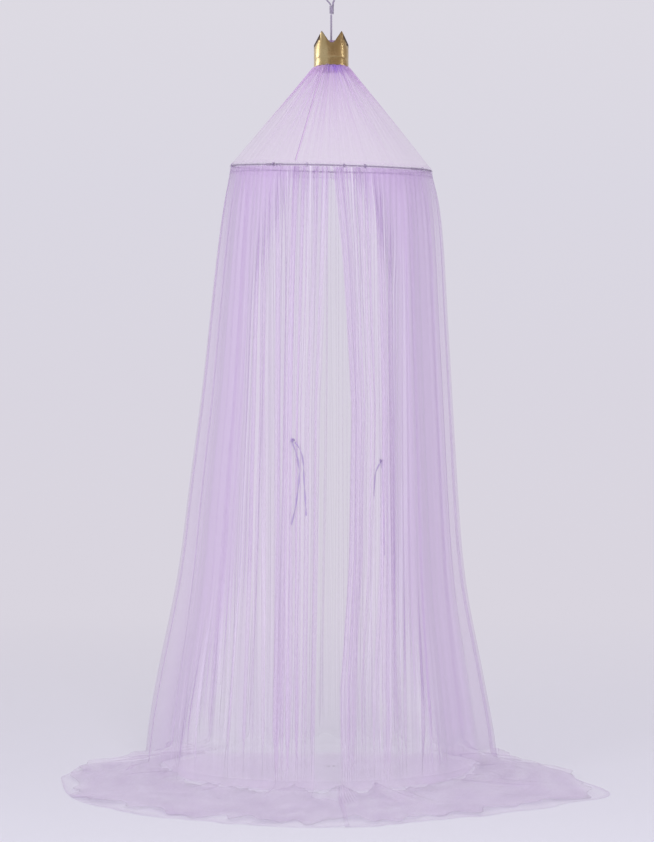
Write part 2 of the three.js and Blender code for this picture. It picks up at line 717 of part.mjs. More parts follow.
function tie(side, angle, drop, outside) {
  const group = new THREE.Group();
  const half = tie_knot_depth / 2;
  const seat = tieSeat(angle, -drop - (outside ? 0 : -tie_knot_height / 2));
  const radius = outside ? seat + seat_gap + half : seat - skirt_wall - 3 * seat_gap - half;
  const knot = piece(`tie_knot_${side}`, knotGeometry(tie_knot_width, tie_knot_depth, tie_knot_height), 'thread');
  knot.position.copy(polar(angle, radius, -drop));
  knot.rotation.z = rad(angle);
  group.add(knot);
  const aside = new THREE.Vector3(Math.cos(rad(angle)), Math.sin(rad(angle)), 0);
  const outward = polar(angle, 1, 0);
  for (const [length, route] of Object.entries(tie_routes[side])) {
    const points = route.map(([x, z], k) => {
      const share = Math.min(1, k / 3);
      const rest = tieSeat(angle, -drop + z);
      const lie = outside ? rest + seat_gap + tie_diameter / 2 : radius - tie_knot_depth;
      return outward.clone().multiplyScalar(lerp(radius, lie, share))
        .addScaledVector(aside, x)
        .setZ(-drop + z);
    });
    const path = new THREE.CatmullRomCurve3(points);
    const steps = Math.round(path.getLength() / tie_row_length);
    group.add(piece(`tie_tail_${length}_${side}`, barGeometry(path, tie_diameter / 2, steps), 'thread'));
  }
  return group;
}

function frontPanels() {
  const group = new THREE.Group();
  group.add(piece('front_panel_left', clothGeometry(
    panel_rows, () => -panel_left_deg, (row) => edgeAngle(row, -1), true, false,
  ), 'tulle'));
  group.add(piece('front_panel_right', clothGeometry(
    panel_rows, (row) => edgeAngle(row, 1), () => panel_right_deg, false, true,
  ), 'tulle'));
  group.add(tie('left', tie_left_deg, tie_left_drop, true));
  group.add(tie('right', tie_right_deg, tie_right_drop, false));
  return group;
}

const canopy = new THREE.Group();
canopy.add(hangingEye(), hangingCord(), neck(), crown(), topNet(), hoop(), casing(), skirt(), frontPanels(), floorFolds());

export default canopy;
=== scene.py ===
import logging
import math
from dataclasses import dataclass
from enum import Enum
from typing import Optional, Sequence

import bmesh
import bpy
import numpy as np
from mathutils import Matrix, Vector


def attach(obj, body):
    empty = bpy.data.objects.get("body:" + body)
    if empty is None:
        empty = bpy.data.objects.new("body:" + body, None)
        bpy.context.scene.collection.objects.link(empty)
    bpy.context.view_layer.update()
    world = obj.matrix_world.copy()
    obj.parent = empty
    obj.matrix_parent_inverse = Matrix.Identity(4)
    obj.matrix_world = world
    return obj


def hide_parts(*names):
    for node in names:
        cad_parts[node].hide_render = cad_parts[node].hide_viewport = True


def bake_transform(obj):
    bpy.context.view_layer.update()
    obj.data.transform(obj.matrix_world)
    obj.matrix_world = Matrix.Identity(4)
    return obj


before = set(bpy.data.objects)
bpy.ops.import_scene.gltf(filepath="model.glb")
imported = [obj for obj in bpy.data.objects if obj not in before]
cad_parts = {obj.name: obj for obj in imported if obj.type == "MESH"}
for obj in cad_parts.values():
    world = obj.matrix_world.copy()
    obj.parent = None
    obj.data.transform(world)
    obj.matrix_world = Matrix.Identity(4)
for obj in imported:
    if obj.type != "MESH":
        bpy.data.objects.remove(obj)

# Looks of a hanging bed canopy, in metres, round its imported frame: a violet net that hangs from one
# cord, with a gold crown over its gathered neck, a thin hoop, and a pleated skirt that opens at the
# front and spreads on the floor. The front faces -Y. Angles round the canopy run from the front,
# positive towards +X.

LOG = logging.getLogger("canopy")
FULL_TURN = 2 * math.pi
FLOOR = -2.350
SEAT_GAP = 0.0003
CROWN_DROP = 0.253
CROWN_LEAN = math.radians(10)
BACK_SEAM = math.radians(120)
MEETING = math.radians(3.4)
Array = np.ndarray
Triple = tuple[float, float, float]
Colour = tuple[float, float, float, float]
Route = Sequence[Triple]
Profile = Sequence[tuple[float, float]]
Piece = bpy.types.Object
Material = bpy.types.Material
Tree = bpy.types.NodeTree
Node = bpy.types.Node
Socket = bpy.types.NodeSocket


class Side(Enum):
    """The two front curtains, by the sign of their X."""

    LEFT = -1
    RIGHT = 1

    @property
    def word(self) -> str:
        """The side as it stands in the names of its pieces."""
        return self.name.lower()


# Small helpers


def smooth(share: Array) -> Array:
    """Ease a share from 0 to 1, level at both ends."""
    held = np.clip(share, 0, 1)
    return held * held * (3 - 2 * held)


def eased(share: float) -> float:
    """Ease a single share from 0 to 1."""
    return float(smooth(np.array(share)))


def hill(place: Array, middle: float, half: float) -> Array:
    """A round hill over places, 1 high in the middle and 0.37 high at half its width."""
    return np.exp(-(((place - middle) / half) ** 2))


def signed_turn(angle: Array) -> Array:
    """Angles as they lie from the front, up to half a turn either way."""
    return (angle + math.pi) % FULL_TURN - math.pi


def steps_along(line: Array) -> Array:
    """Lengths from each point of a line to the next, or from each row of points to the next."""
    return np.linalg.norm(np.diff(line, axis=0), axis=-1)


def summed(steps: Array) -> Array:
    """Running total of some steps, from 0."""
    return np.concatenate([[0], np.cumsum(steps)])


def woven(across: Array, down: Array) -> Array:
    """Cloth coordinates of a sheet, from the places of its columns and of its rows."""
    return np.stack(np.broadcast_arrays(across[None, :], down[:, None]), -1)


def polar(angle: Array, radius: Array, height: Array) -> Array:
    """Points at angles from the front.

    Args:
        angle: Angles in radians.
        radius: Distances from the hanging cord.
        height: Heights over the origin.

    Returns:
        Points with a last axis of three.
    """
    angle, radius, height = np.broadcast_arrays(angle, radius, height)
    return np.stack([radius * np.sin(angle), -radius * np.cos(angle), height], -1)


@dataclass(frozen=True)
class Ripples:
    """Uneven waves round the canopy, which meet themselves after a full turn.

    Their spread is about 1 either way. The same seed always gives the same waves.
    """

    seed: int
    fewest: int
    most: int
    climb: float = 0.0
    waves: int = 9

    def at(self, angle: Array, along: float = 0.0) -> Array:
        """Height of the waves at angles, and a distance along the cloth.

        Args:
            angle: Angles round the canopy.
            along: Distance along the cloth.

        Returns:
            The height at each angle.
        """
        draw = np.random.default_rng(self.seed)
        total = np.zeros_like(np.asarray(angle, float))
        for _ in range(self.waves):
            count = draw.integers(self.fewest, self.most + 1)
            start = draw.uniform(0, FULL_TURN)
            slant = draw.uniform(-self.climb, self.climb)
            total = total + np.sin(count * angle + slant * along + start)
        return total / math.sqrt(self.waves / 2)


def new_object(name: str, mesh: bpy.types.Mesh) -> Piece:
    """Link a mesh to the scene as a new object at the origin.

    Args:
        name: The object's name.
        mesh: Its mesh.

    Returns:
        The object.
    """
    piece = bpy.data.objects.new(name, mesh)
    bpy.context.scene.collection.objects.link(piece)
    return piece


def grid_piece(
    name: str,
    points: Array,
    spread: Array,
    marks: Optional[dict[str, Array]] = None,
    ring: bool = False,
) -> Piece:
    """Make a smooth sheet from rows of points.

    Args:
        name: The piece's name.
        points: Rows by columns by three. Rows run down and columns towards +X at the front.
        spread: Cloth coordinates, rows by columns by two; one column more where it is a ring.
        marks: Values by name for each point.
        ring: Whether the last column meets the first.

    Returns:
        The new object.
    """
    rows, columns = points.shape[:2]
    index = np.arange(rows * columns).reshape(rows, columns)
    if ring:
        index = np.concatenate([index, index[:, :1]], axis=1)
    place = np.arange(rows * index.shape[1]).reshape(rows, index.shape[1])

    def corners(table: Array) -> Array:
        """Corner numbers of every face, turned to face outwards."""
        return np.stack([table[:-1, :-1], table[1:, :-1], table[1:, 1:], table[:-1, 1:]], -1)

    faces = corners(index).reshape(-1, 4)
    mesh = bpy.data.meshes.new(name)
    mesh.from_pydata(points.reshape(-1, 3).tolist(), [], faces.tolist())
    mesh.polygons.foreach_set("use_smooth", np.ones(len(faces), bool))
    cloth = mesh.uv_layers.new(name="Cloth")
    flat = spread.reshape(-1, 2)[corners(place).reshape(-1)]
    cloth.data.foreach_set("uv", flat.astype(np.float32).ravel())
    for mark, values in (marks or {}).items():
        layer = mesh.attributes.new(mark, "FLOAT", "POINT")
        layer.data.foreach_set("value", np.ascontiguousarray(values, np.float32).ravel())
    mesh.update()
    return new_object(name, mesh)


def carried_axes(path: Array) -> tuple[Array, Array]:
    """Two directions across a path that turn as little as they can along it.

    Args:
        path: Points of the path.

    Returns:
        The two directions at each point.
    """
    run = np.gradient(path, axis=0)
    run /= np.linalg.norm(run, axis=1, keepdims=True)
    side = np.cross(run[0], [0, 1, 0] if abs(run[0][1]) < 0.9 else [1, 0, 0])
    sides = []
    for way in run:
        side = side - way * (side @ way)
        side = side / np.linalg.norm(side)
        sides.append(side)
    across = np.array(sides)
    return across, np.cross(run, across)


def curved(route: Route, step: float) -> Array:
    """A smooth curve through a route's points, in even steps.

    Args:
        route: Points that the curve passes through.
        step: Distance from one point of the curve to the next.

    Returns:
        Points of the curve.
    """
    knots = np.array(route, float)
    ends = [2 * knots[0] - knots[1], *knots, 2 * knots[-1] - knots[-2]]
    dense = []
    for a, b, c, d in zip(ends, ends[1:], ends[2:], ends[3:]):
        for t in np.linspace(0, 1, 12, endpoint=False):
            dense.append(
                0.5 * (2 * b + (c - a) * t + (2 * a - 5 * b + 4 * c - d) * t**2
                       + (3 * b - a - 3 * c + d) * t**3)
            )
    dense.append(knots[-1])
    line = np.array(dense)
    run = summed(steps_along(line))
    spots = np.linspace(0, run[-1], max(8, round(run[-1] / step)))
    return np.stack([np.interp(spots, run, line[:, k]) for k in range(3)], -1)


def tube_piece(
    name: str,
    path: Array,
    radius: float,
    strands: int = 3,
    lay: float = 0.02,
    groove: float = 0.16,
    flatness: float = 1.0,
    sides: int = 18,
    closed: bool = False,
) -> Piece:
    """Make a laid cord or a twisted tape along a path.

    Args:
        name: The piece's name.
        path: Its centre line.
        radius: Half its width.
        strands: How many strands show round it.
        lay: Length in which a strand goes once round.
        groove: Depth of the grooves between strands, as a share of the radius.
        flatness: Its thickness as a share of its width.
        sides: Points round it.
        closed: Whether the path meets itself.

    Returns:
        The new object, closed at both ends.
    """
    if closed:
        path = np.concatenate([path, path[:1]])
    across, up = carried_axes(path)
    run = summed(steps_along(path))
    turn = np.linspace(0, FULL_TURN, sides, endpoint=False)
    twist = FULL_TURN * run[:, None] / lay
    round_it = turn[None, :]
    width = radius * (1 - groove * np.abs(np.sin(strands / 2 * round_it)) ** 3)
    x = width * np.cos(round_it)
    y = width * np.sin(round_it) * flatness
    out_x = x * np.cos(twist) - y * np.sin(twist)
    out_y = x * np.sin(twist) + y * np.cos(twist)
    points = path[:, None] + out_x[..., None] * across[:, None] + out_y[..., None] * up[:, None]
    piece = grid_piece(name, points, woven(np.linspace(0, 1, sides + 1), run), ring=True)
    body = bmesh.new()
    body.from_mesh(piece.data)
    bmesh.ops.holes_fill(body, edges=[e for e in body.edges if e.is_boundary], sides=0)
    bmesh.ops.recalc_face_normals(body, faces=body.faces)
    body.to_mesh(piece.data)
    body.free()
    return piece


def overhand(points: int) -> tuple[Array, Array, Array]:
    """The closed loop of an overhand knot: 3 wide and high either way, and 1 deep."""
    t = np.linspace(0, FULL_TURN, points, endpoint=False)
    return np.sin(t) + 2 * np.sin(2 * t), np.cos(t) - 2 * np.cos(2 * t), -np.sin(3 * t)


def select(*pieces: Piece) -> None:
    """Select only these objects, the first as the active one."""
    bpy.ops.object.select_all(action="DESELECT")
    for piece in pieces:
        piece.select_set(True)
    bpy.context.view_layer.objects.active = pieces[0]


def joined(name: str, pieces: Sequence[Piece]) -> Piece:
    """Join several new objects into one with a name.

    Args:
        name: The joined object's name.
        pieces: The objects to join.

    Returns:
        The joined object.
    """
    select(*pieces)
    bpy.ops.object.join()
    pieces[0].name = name
    pieces[0].data.name = name
    return pieces[0]


# Finishes


def effect_group(name: str, inputs: dict[str, str], outputs: dict[str, str]) -> Tree:
    """Start a shared effect.

    Args:
        name: The effect's name.
        inputs: Kind of socket by name.
        outputs: Kind of socket by name.

    Returns:
        The empty group with its sockets.
    """
    group = bpy.data.node_groups.new(name, "ShaderNodeTree")
    for label, kind in inputs.items():
        group.interface.new_socket(label, in_out="INPUT", socket_type=f"NodeSocket{kind}")
    for label, kind in outputs.items():
        group.interface.new_socket(label, in_out="OUTPUT", socket_type=f"NodeSocket{kind}")
    return group


@dataclass
class Graph:
    """A node tree with short ways to add and link its nodes."""

    tree: Tree

    def add(self, kind: str, **values: object) -> Node:
        """Add a node. Names of its own are set as they are, and other names are sockets.

        Args:
            kind: The node's type.
            values: Its settings and the values of its sockets.

        Returns:
            The node.
        """
        node = self.tree.nodes.new(kind)
        for label, value in values.items():
            if hasattr(node, label):
                setattr(node, label, value)
            else:
                self.put(node, **{label: value})
        return node

    def put(self, node: Node, **values: object) -> None:
        """Feed a node's sockets by their names."""
        for label, value in values.items():
            self.feed(node.inputs[label.replace("_", " ")], value)

    def feed(self, socket: Socket, value: object) -> None:
        """Link a socket to another, or set its value."""
        if isinstance(value, Socket):
            self.tree.links.new(value, socket)
        else:
            socket.default_value = value

    def math(self, operation: str, first: object, second: object = 0.0, third: object = 1.0) -> Socket:
        """Put two or three values through one operation.

        Args:
            operation: The operation's name.
            first: Its first value.
            second: Its second value.
            third: Its third value.

        Returns:
            The result's socket.
        """
        node = self.add("ShaderNodeMath", operation=operation)
        for k, value in enumerate((first, second, third)):
            self.feed(node.inputs[k], value)
        return node.outputs[0]

    def between(self, value: object, low: float, high: float, start: float, end: float) -> Socket:
        """Spread a value's range over another, held at both ends.

        Args:
            value: The value.
            low: Start of its range.
            high: End of its range.
            start: Result at the start.
            end: Result at the end.

        Returns:
            The result's socket.
        """
        node = self.add("ShaderNodeMapRange")
        for k, each in enumerate((value, low, high, start, end)):
            self.feed(node.inputs[k], each)
        return node.outputs[0]

    def blend(self, share: object, first: object, second: object) -> Socket:
        """Mix two colours.

        Args:
            share: Share of the second colour.
            first: First colour.
            second: Second colour.

        Returns:
            The mixed colour's socket.
        """
        node = self.add("ShaderNodeMix", data_type="RGBA")
        self.feed(node.inputs[0], share)
        self.feed(node.inputs[6], first)
        self.feed(node.inputs[7], second)
        return node.outputs[2]

    def mixed(self, share: object, first: Node, second: Node) -> Socket:
        """Mix two shaders.

        Args:
            share: How much of the second shows.
            first: The shader where the share is 0.
            second: The shader where the share is 1.

        Returns:
            The mixed shader's socket.
        """
        mix = self.add("ShaderNodeMixShader")
        self.feed(mix.inputs[0], share)
        self.feed(mix.inputs[1], first.outputs[0])
        self.feed(mix.inputs[2], second.outputs[0])
        return mix.outputs[0]

    def stretched(self, vector: object, scale: Triple) -> Socket:
        """Scale a pattern's coordinates."""
        return self.add("ShaderNodeMapping", Vector=vector, Scale=scale).outputs[0]

    def noise(self, vector: object, scale: float, detail: float) -> Socket:
        """Soft noise from 0 to 1."""
        node = self.add("ShaderNodeTexNoise", Vector=vector, Scale=scale, Detail=detail)
        return node.outputs[0]

    def grain(self, vector: object, scale: Triple, detail: float) -> Socket:
        """Soft noise from 0 to 1, finer one way than another."""
        return self.noise(self.stretched(vector, scale), 1, detail)

    def cloth(self) -> Socket:
        """The cloth coordinates that the mesh carries."""
        return self.add("ShaderNodeUVMap", uv_map="Cloth").outputs["UV"]

    def mark(self, name: str) -> Socket:
        """A value that the mesh carries."""
        return self.add("ShaderNodeAttribute", attribute_name=name).outputs["Fac"]

    def dent(self, shader: Node, height: object, distance: float, strength: float = 1.0) -> None:
        """Turn a shader's normals by a height."""
        bump = self.add("ShaderNodeBump", Height=height, Distance=distance, Strength=strength)
        self.put(shader, Normal=bump.outputs[0])

    def first(self, kind: str) -> Node:
        """The first node of a kind, as a new tree already has it."""
        return next(node for node in self.tree.nodes if node.type == kind)


def principled(name: str, **constants: object) -> tuple[Material, Graph, Node]:
    """Start a material and set the values that are the same all over it.

    Args:
        name: The material's name.
        constants: Values of the shader's sockets, by name.

    Returns:
        The material, its graph and its shader.
    """
    material = bpy.data.materials.new(name)
    material.use_nodes = True
    graph = Graph(material.node_tree)
    shader = graph.first("BSDF_PRINCIPLED")
    graph.put(shader, **constants)
    return material, graph, shader


def net_effect() -> Tree:
    """Slits, pressed lines and mesh of a pleated net, as a share of light it stops.

    Where the cloth is calm its pleats have run out, and only the mesh is left. Crest marks the pressed
    crests, where the net's material paints a pale highlight.

    Returns:
        The group.
    """
    group = effect_group(
        "Pleated net",
        {"Cloth": "Vector", "Layers": "Float", "Calm": "Float", "Cover": "Float", "Streaks": "Float"},
        {"Cover": "Float", "Depth": "Float", "Crest": "Float"},
    )
    graph = Graph(group)
    source = graph.add("NodeGroupInput")
    sink = graph.add("NodeGroupOutput")
    cloth = source.outputs["Cloth"]
    fine = graph.grain(cloth, (300, 0.8, 1), 1)
    slim = graph.grain(cloth, (115, 0.55, 1), 1)
    broad = graph.grain(cloth, (30, 0.7, 1), 1)
    mesh = graph.grain(cloth, (1400, 1400, 1), 0)
    crest = graph.between(slim, 0.57, 0.66, 0.0, 1.0)
    hollow = graph.between(slim, 0.34, 0.43, 1.0, 0.0)
    pressed = graph.math("MULTIPLY_ADD", crest, 1.6, 1.0)
    lines = graph.math("ADD", pressed, graph.math("MULTIPLY", hollow, 0.7))
    shades = [graph.between(each, 0.3, 0.7, 1 - depth, 1 + depth)
              for each, depth in ((fine, 0.4), (broad, 0.25))]
    pattern = graph.math("MULTIPLY", lines, graph.math("MULTIPLY", *shades))
    pleated = graph.math("SUBTRACT", 1.0, source.outputs["Calm"])
    active = graph.math("MULTIPLY", pleated, source.outputs["Streaks"])
    threads = graph.between(mesh, 0.3, 0.7, 0.85, 1.15)
    uneven = graph.math("MULTIPLY", graph.math("POWER", pattern, active), threads)
    layers = graph.math("MULTIPLY", uneven, source.outputs["Layers"])
    clear = graph.math("SUBTRACT", 1.0, source.outputs["Cover"])
    cover = graph.math("SUBTRACT", 1.0, graph.math("POWER", clear, layers))
    # Depth: share of the deep colour, partly the net's own density and partly painted shade of stacked
    # layers.
    depth = graph.between(layers, 0.7, 2.4, 0.0, 1.0)
    # Crest: where the material paints a pale highlight along the pressed crests.
    crest = graph.math("MULTIPLY", crest, graph.math("MINIMUM", active, 1.0))
    graph.put(sink, Cover=cover, Depth=depth, Crest=crest)
    return group


def fibre_effect() -> Tree:
    """Fine fibres along a cord or tape, as a shade from 0 to 1 and a height. The shade is low in the
    hollows between strands: painted shade there, mixed with the fibres' own tone.

    Returns:
        The group.
    """
    group = effect_group("Laid fibres", {"Along": "Vector"}, {"Shade": "Float", "Height": "Float"})
    graph = Graph(group)
    source = graph.add("NodeGroupInput")
    sink = graph.add("NodeGroupOutput")
    wave = graph.add("ShaderNodeTexWave", bands_direction="DIAGONAL", Scale=1, Distortion=2.5, Detail=2,
                     Vector=graph.stretched(source.outputs["Along"], (2.5, 260, 1)))
    fuzz = graph.grain(source.outputs["Along"], (30, 2200, 1), 3)
    shade = graph.between(graph.math("MULTIPLY", wave.outputs[1], fuzz), 0.1, 0.6, 0, 1)
    graph.put(sink, Shade=shade, Height=graph.math("ADD", wave.outputs[1], fuzz))
    return group


@dataclass(frozen=True)
class NetFinish:
    """Sheer tulle: thin threads that let most light through, denser where it is gathered."""

    name: str
    cover: float = 0.18
    streaks: float = 0.68
    pale: Colour = (0.755, 0.615, 0.83, 1)
    deep: Colour = (0.550, 0.400, 0.665, 1)
    rich: Colour = (0.37, 0.20, 0.70, 1)
    # Pale colour painted on the pressed crests as a highlight.
    lit: Colour = (0.90, 0.82, 0.97, 1)

    def material(self, effect: Tree) -> Material:
        """Make the material.

        Args:
            effect: The net's own group.

        Returns:
            The material.
        """
        made, graph, shader = principled(
            self.name, Roughness=0.8, Sheen_Weight=0.25, Sheen_Roughness=0.4, Specular_IOR_Level=0.25
        )
        net = graph.add(
            "ShaderNodeGroup", node_tree=effect, Cloth=graph.cloth(), Layers=graph.mark("layers"),
            Calm=graph.mark("calm"), Cover=self.cover, Streaks=self.streaks,
        )
        # Deeper colour where layers stack: partly the net's own density, partly painted shade where the
        # layers shade each other.
        tone = graph.blend(net.outputs["Depth"], self.pale, self.deep)
        tone = graph.blend(graph.mark("rich"), tone, self.rich)
        # Painted highlight: the pressed crests turn to the pale lit colour.
        tone = graph.blend(net.outputs["Crest"], tone, self.lit)
        graph.put(shader, Base_Color=tone, Alpha=net.outputs["Cover"])
        return made


@dataclass(frozen=True)
class FibreFinish:
    """Cord, tape or thread: fine laid fibres, with painted shade in the hollows between strands."""

    name: str
    light: Colour
    dark: Colour
    alpha: float = 1.0

    def material(self, effect: Tree) -> Material:
        """Make the material.

        Args:
            effect: The fibres' group.

        Returns:
            The material.
        """
        made, graph, shader = principled(self.name, Roughness=0.72, Sheen_Weight=0.2, Alpha=self.alpha)
        fibres = graph.add("ShaderNodeGroup", node_tree=effect, Along=graph.cloth())
        # Darker in the hollows: painted shade, mixed with the fibres' own tone.
        tone = graph.blend(fibres.outputs["Shade"], self.dark, self.light)
        graph.put(shader, Base_Color=tone)
        graph.dent(shader, fibres.outputs["Height"], 0.0003)
        return made


@dataclass(frozen=True)
class FoilFinish:
    """Gold foil on a brown sheet: soft dents, fine rub marks and a dark cut edge."""

    name: str
    gold: Colour = (0.70, 0.57, 0.32, 1)
    bronze: Colour = (0.46, 0.33, 0.15, 1)
    core: Colour = (0.055, 0.032, 0.020, 1)

    def material(self) -> Material:
        """Make the material.

        Returns:
            The material.
        """
        made, graph, shader = principled(self.name)
        place = graph.add("ShaderNodeTexCoord").outputs["Object"]
        patches = graph.grain(place, (22, 22, 9), 3)
        rubs = graph.grain(place, (60, 60, 900), 2)
        tone = graph.blend(graph.between(patches, 0.35, 0.7, 0, 1), self.gold, self.bronze)
        ragged = graph.math("ADD", graph.mark("cut_edge"), graph.between(rubs, 0.4, 0.7, -0.18, 0.18))
        bare = graph.between(ragged, 0.45, 0.62, 0, 1)
        sheen = graph.math("ADD", graph.between(patches, 0.3, 0.7, 0.24, 0.36),
                           graph.between(rubs, 0.3, 0.7, -0.04, 0.08))
        graph.put(
            shader, Base_Color=graph.blend(bare, tone, self.core),
            Metallic=graph.math("SUBTRACT", 1.0, bare),
            Roughness=graph.math("ADD", sheen, graph.math("MULTIPLY", bare, 0.4)),
        )
        graph.dent(shader, graph.grain(place, (40, 40, 26), 2), 0.0012, strength=0.35)
        return made


@dataclass(frozen=True)
class SkinFinish:
    """A plain solid skin, such as the hoop's plastic or the crown's brown backing."""

    name: str
    light: Colour
    dark: Colour
    roughness: tuple[float, float] = (0.4, 0.55)
    grain: float = 300.0

    def material(self) -> Material:
        """Make the material.

        Returns:
            The material.
        """
        made, graph, shader = principled(self.name)
        place = graph.add("ShaderNodeTexCoord").outputs["Object"]
        patches = graph.noise(place, 14, 3)
        grain = graph.noise(place, self.grain, 3)
        tone = graph.math("MULTIPLY", graph.between(patches, 0.3, 0.7, 0.4, 1), grain)
        tone = graph.blend(graph.between(tone, 0.15, 0.6, 0, 1), self.dark, self.light)
        graph.put(shader, Base_Color=tone, Roughness=graph.between(grain, 0.3, 0.7, *self.roughness))
        graph.dent(shader, grain, 0.0002)
        return made


@dataclass
class Finishes:
    """Every finish on the canopy, made once."""

    def __post_init__(self) -> None:
        """Make the materials."""
        net, fibres = net_effect(), fibre_effect()
        self.skirt = NetFinish("Tulle skirt").material(net)
        # Painted light: the tulle on the floor is a paler copy of the skirt's net, to lift the shade it
        # lies in under the canopy.
        self.floor = NetFinish(
            "Tulle on floor", pale=(0.90, 0.73, 0.96, 1), deep=(0.80, 0.63, 0.90, 1)
        ).material(net)
        self.top = NetFinish(
            "Tulle top", cover=0.16, streaks=0.2, pale=(0.88, 0.70, 0.90, 1), deep=(0.68, 0.49, 0.77, 1)
        ).material(net)
        self.cord, self.thread, self.tack, self.tape = (
            FibreFinish(name, (*light, 1), (*dark, 1), alpha).material(fibres)
            for name, light, dark, alpha in (
                ("Grey violet cord", (0.47, 0.41, 0.54), (0.26, 0.22, 0.32), 1.0),
                ("Violet thread", (0.50, 0.38, 0.62), (0.32, 0.23, 0.43), 1.0),
                ("Tacking thread", (0.64, 0.50, 0.76), (0.46, 0.35, 0.60), 1.0),
                ("Tie tape", (0.58, 0.45, 0.76), (0.44, 0.33, 0.63), 0.55),
            )
        )
        self.foil = FoilFinish("Gold foil").material()
        self.backing = SkinFinish("Brown backing", (0.16, 0.10, 0.062, 1), (0.06, 0.036, 0.024, 1),
                                  (0.6, 0.8), 900).material()
        self.rod = SkinFinish("Hoop rod", (0.34, 0.28, 0.40, 1), (0.20, 0.16, 0.25, 1)).material()


def dress(piece: Piece, material: Material, slot: str, body: Optional[str] = None,
          *nodes: str) -> Piece:
    """Give a piece its only material, and tie it to the frame.

    Args:
        piece: The piece.
        material: Its finish.
        slot: Not used.
        body: The body that it rides on, unless the frame or a blend sets it.
        nodes: The nodes that it stands for.

    Returns:
        The piece.
    """
    piece.data.materials.clear()
    piece.data.materials.append(material)
    if body:
        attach(piece, body)
    if nodes:
        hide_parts(*nodes)
    return piece


# Shape of the canopy, as its frame has it


@dataclass(frozen=True)
class Hoop:
    """The leaning circle that spreads the net."""

    drop: float = 0.5535
    radius: float = 0.300
    lean: float = math.radians(1.46)

    def height(self, angle: Array) -> Array:
        """Height of the rod's centre at angles."""
        return -self.drop - self.radius * np.sin(angle) * math.tan(self.lean)

    def point(self, angle: Array, out: Array, up: Array) -> Array:
        """Points beside the rod, out from it and up from it."""
        reach = self.radius + out
        return polar(angle, reach, -self.drop - reach * np.sin(angle) * math.tan(self.lean) + up)


@dataclass(frozen=True)
class SkirtForm:
    """How the skirt hangs, opens at the front and lies on the floor."""

    hoop: Hoop = Hoop()
    floor: float = FLOOR
    flare_left: float = 0.219
    flare_right: float = 0.159
    flare_front: float = 0.085
    flare_back: float = 0.050
    swell: float = 0.029
    swell_from: float = 0.62
    swell_over: float = 0.33
    folds: int = 20
    fold_depth: float = 0.028
    fold_growth: float = 0.4
    foot_bend: float = 0.042
    pool_reach: float = 0.800
    pool_fold: float = 0.034
    pool_edge: float = 0.007
    opening: float = 0.048
    tie_left: float = -17.5
    tie_right: float = 23.9
    drop_shares: Sequence[float] = (0, 0.05, 0.13, 0.22, 0.39, 0.56, 0.73, 0.9, 1)
    left_shares: Sequence[float] = (0, 0.07, 0.155, 0.23, 0.37, 0.55, 0.7, 0.89, 1)
    right_shares: Sequence[float] = (0, 0.12, 0.195, 0.24, 0.34, 0.44, 0.57, 0.81, 1)
    opening_drop_shares: Sequence[float] = (0, 0.15, 0.4, 0.65, 0.85, 1)
    opening_left_shares: Sequence[float] = (-0.04, -0.25, -0.7, -0.8, -0.94, -1.05)
    opening_right_shares: Sequence[float] = (0.08, 0.62, 1.25, 1.05, 0.46, 0.52)
    hem_shares: Profile = (
        (-180, 0.525), (-140, 0.55), (-120, 0.59), (-101, 0.71), (-90, 0.96), (-79, 1.01), (-61, 1.04),
        (-44, 1), (-28, 0.94), (-10, 0.92), (8, 0.915), (22, 0.89), (39, 0.93), (53, 1),
        (65, 1.09), (80, 0.91), (94, 0.79), (101, 0.65), (120, 0.59), (140, 0.55), (180, 0.525),
    )

    @property
    def foot(self) -> float:
        """Height where the cloth starts to turn out on to the floor."""
        return self.floor + self.foot_bend

    def flare(self, drop: float, shares: Sequence[float]) -> float:
        """Share of a flare at a drop, with its corners eased."""
        near = np.clip(drop + np.linspace(-0.04, 0.04, 9) * min(1, drop / 0.06), 0, 1)
        return float(np.interp(near, self.drop_shares, shares).mean())

    def radius(self, angle: Array, drop: float) -> Array:
        """Mean radius of the hanging cloth at a share of its drop.

        Args:
            angle: Angles round the canopy.
            drop: Share of the way down.

        Returns:
            The radius at each angle.
        """
        left = self.flare(drop, self.left_shares)
        right = self.flare(drop, self.right_shares)
        sine, cosine = np.sin(angle), np.cos(angle)
        side = np.where(sine < 0, self.flare_left * left, self.flare_right * right)
        ends = np.where(cosine > 0, self.flare_front, self.flare_back) * (left + right) / 2
        low = eased((drop - self.swell_from) / self.swell_over)
        wider = self.swell * low * sine**4 * smooth((cosine + 0.45) / 0.35)
        return self.hoop.radius + sine**2 * side + cosine**2 * ends + wider

    def fold(self, angle: Array) -> Array:
        """The main folds, from -1 in a hollow to 1 on a crest. Each tie sits on a crest.

        Args:
            angle: Angles round the canopy.

        Returns:
            The fold at each angle.
        """
        left, right = self.folds * self.tie_left, self.folds * self.tie_right
        sines = math.sin(math.radians(self.tie_right)) - math.sin(math.radians(self.tie_left))
        swing = (round((right - left) / 360) * 360 - (right - left)) / sines
        start = -left - swing * math.sin(math.radians(self.tie_left))
        return np.cos(self.folds * angle + np.radians(start) + np.radians(swing) * np.sin(angle))

    def hem(self, angle: Array) -> Array:
        """Radius of the hem on the floor.

        Args:
            angle: Angles round the canopy.

        Returns:
            The radius at each angle.
        """
        turned = (np.degrees(angle) + 540) % 360 - 180
        degrees, shares = np.array(self.hem_shares).T
        k = np.clip(np.searchsorted(degrees, turned, side="right") - 1, 0, len(degrees) - 2)
        share = smooth((turned - degrees[k]) / (degrees[k + 1] - degrees[k]))
        return self.pool_reach * (shares[k] + (shares[k + 1] - shares[k]) * share)

    def edge(self, side: Side, drop: float) -> float:
        """Angle of a front curtain's free edge at a share of the drop.

        Args:
            side: Which curtain.
            drop: Share of the way down.

        Returns:
            The angle.
        """
        shares = self.opening_left_shares if side is Side.LEFT else self.opening_right_shares
        reach = self.opening * float(np.interp(drop, self.opening_drop_shares, shares))
        return math.asin(reach / float(self.radius(np.array(0.0), drop)))


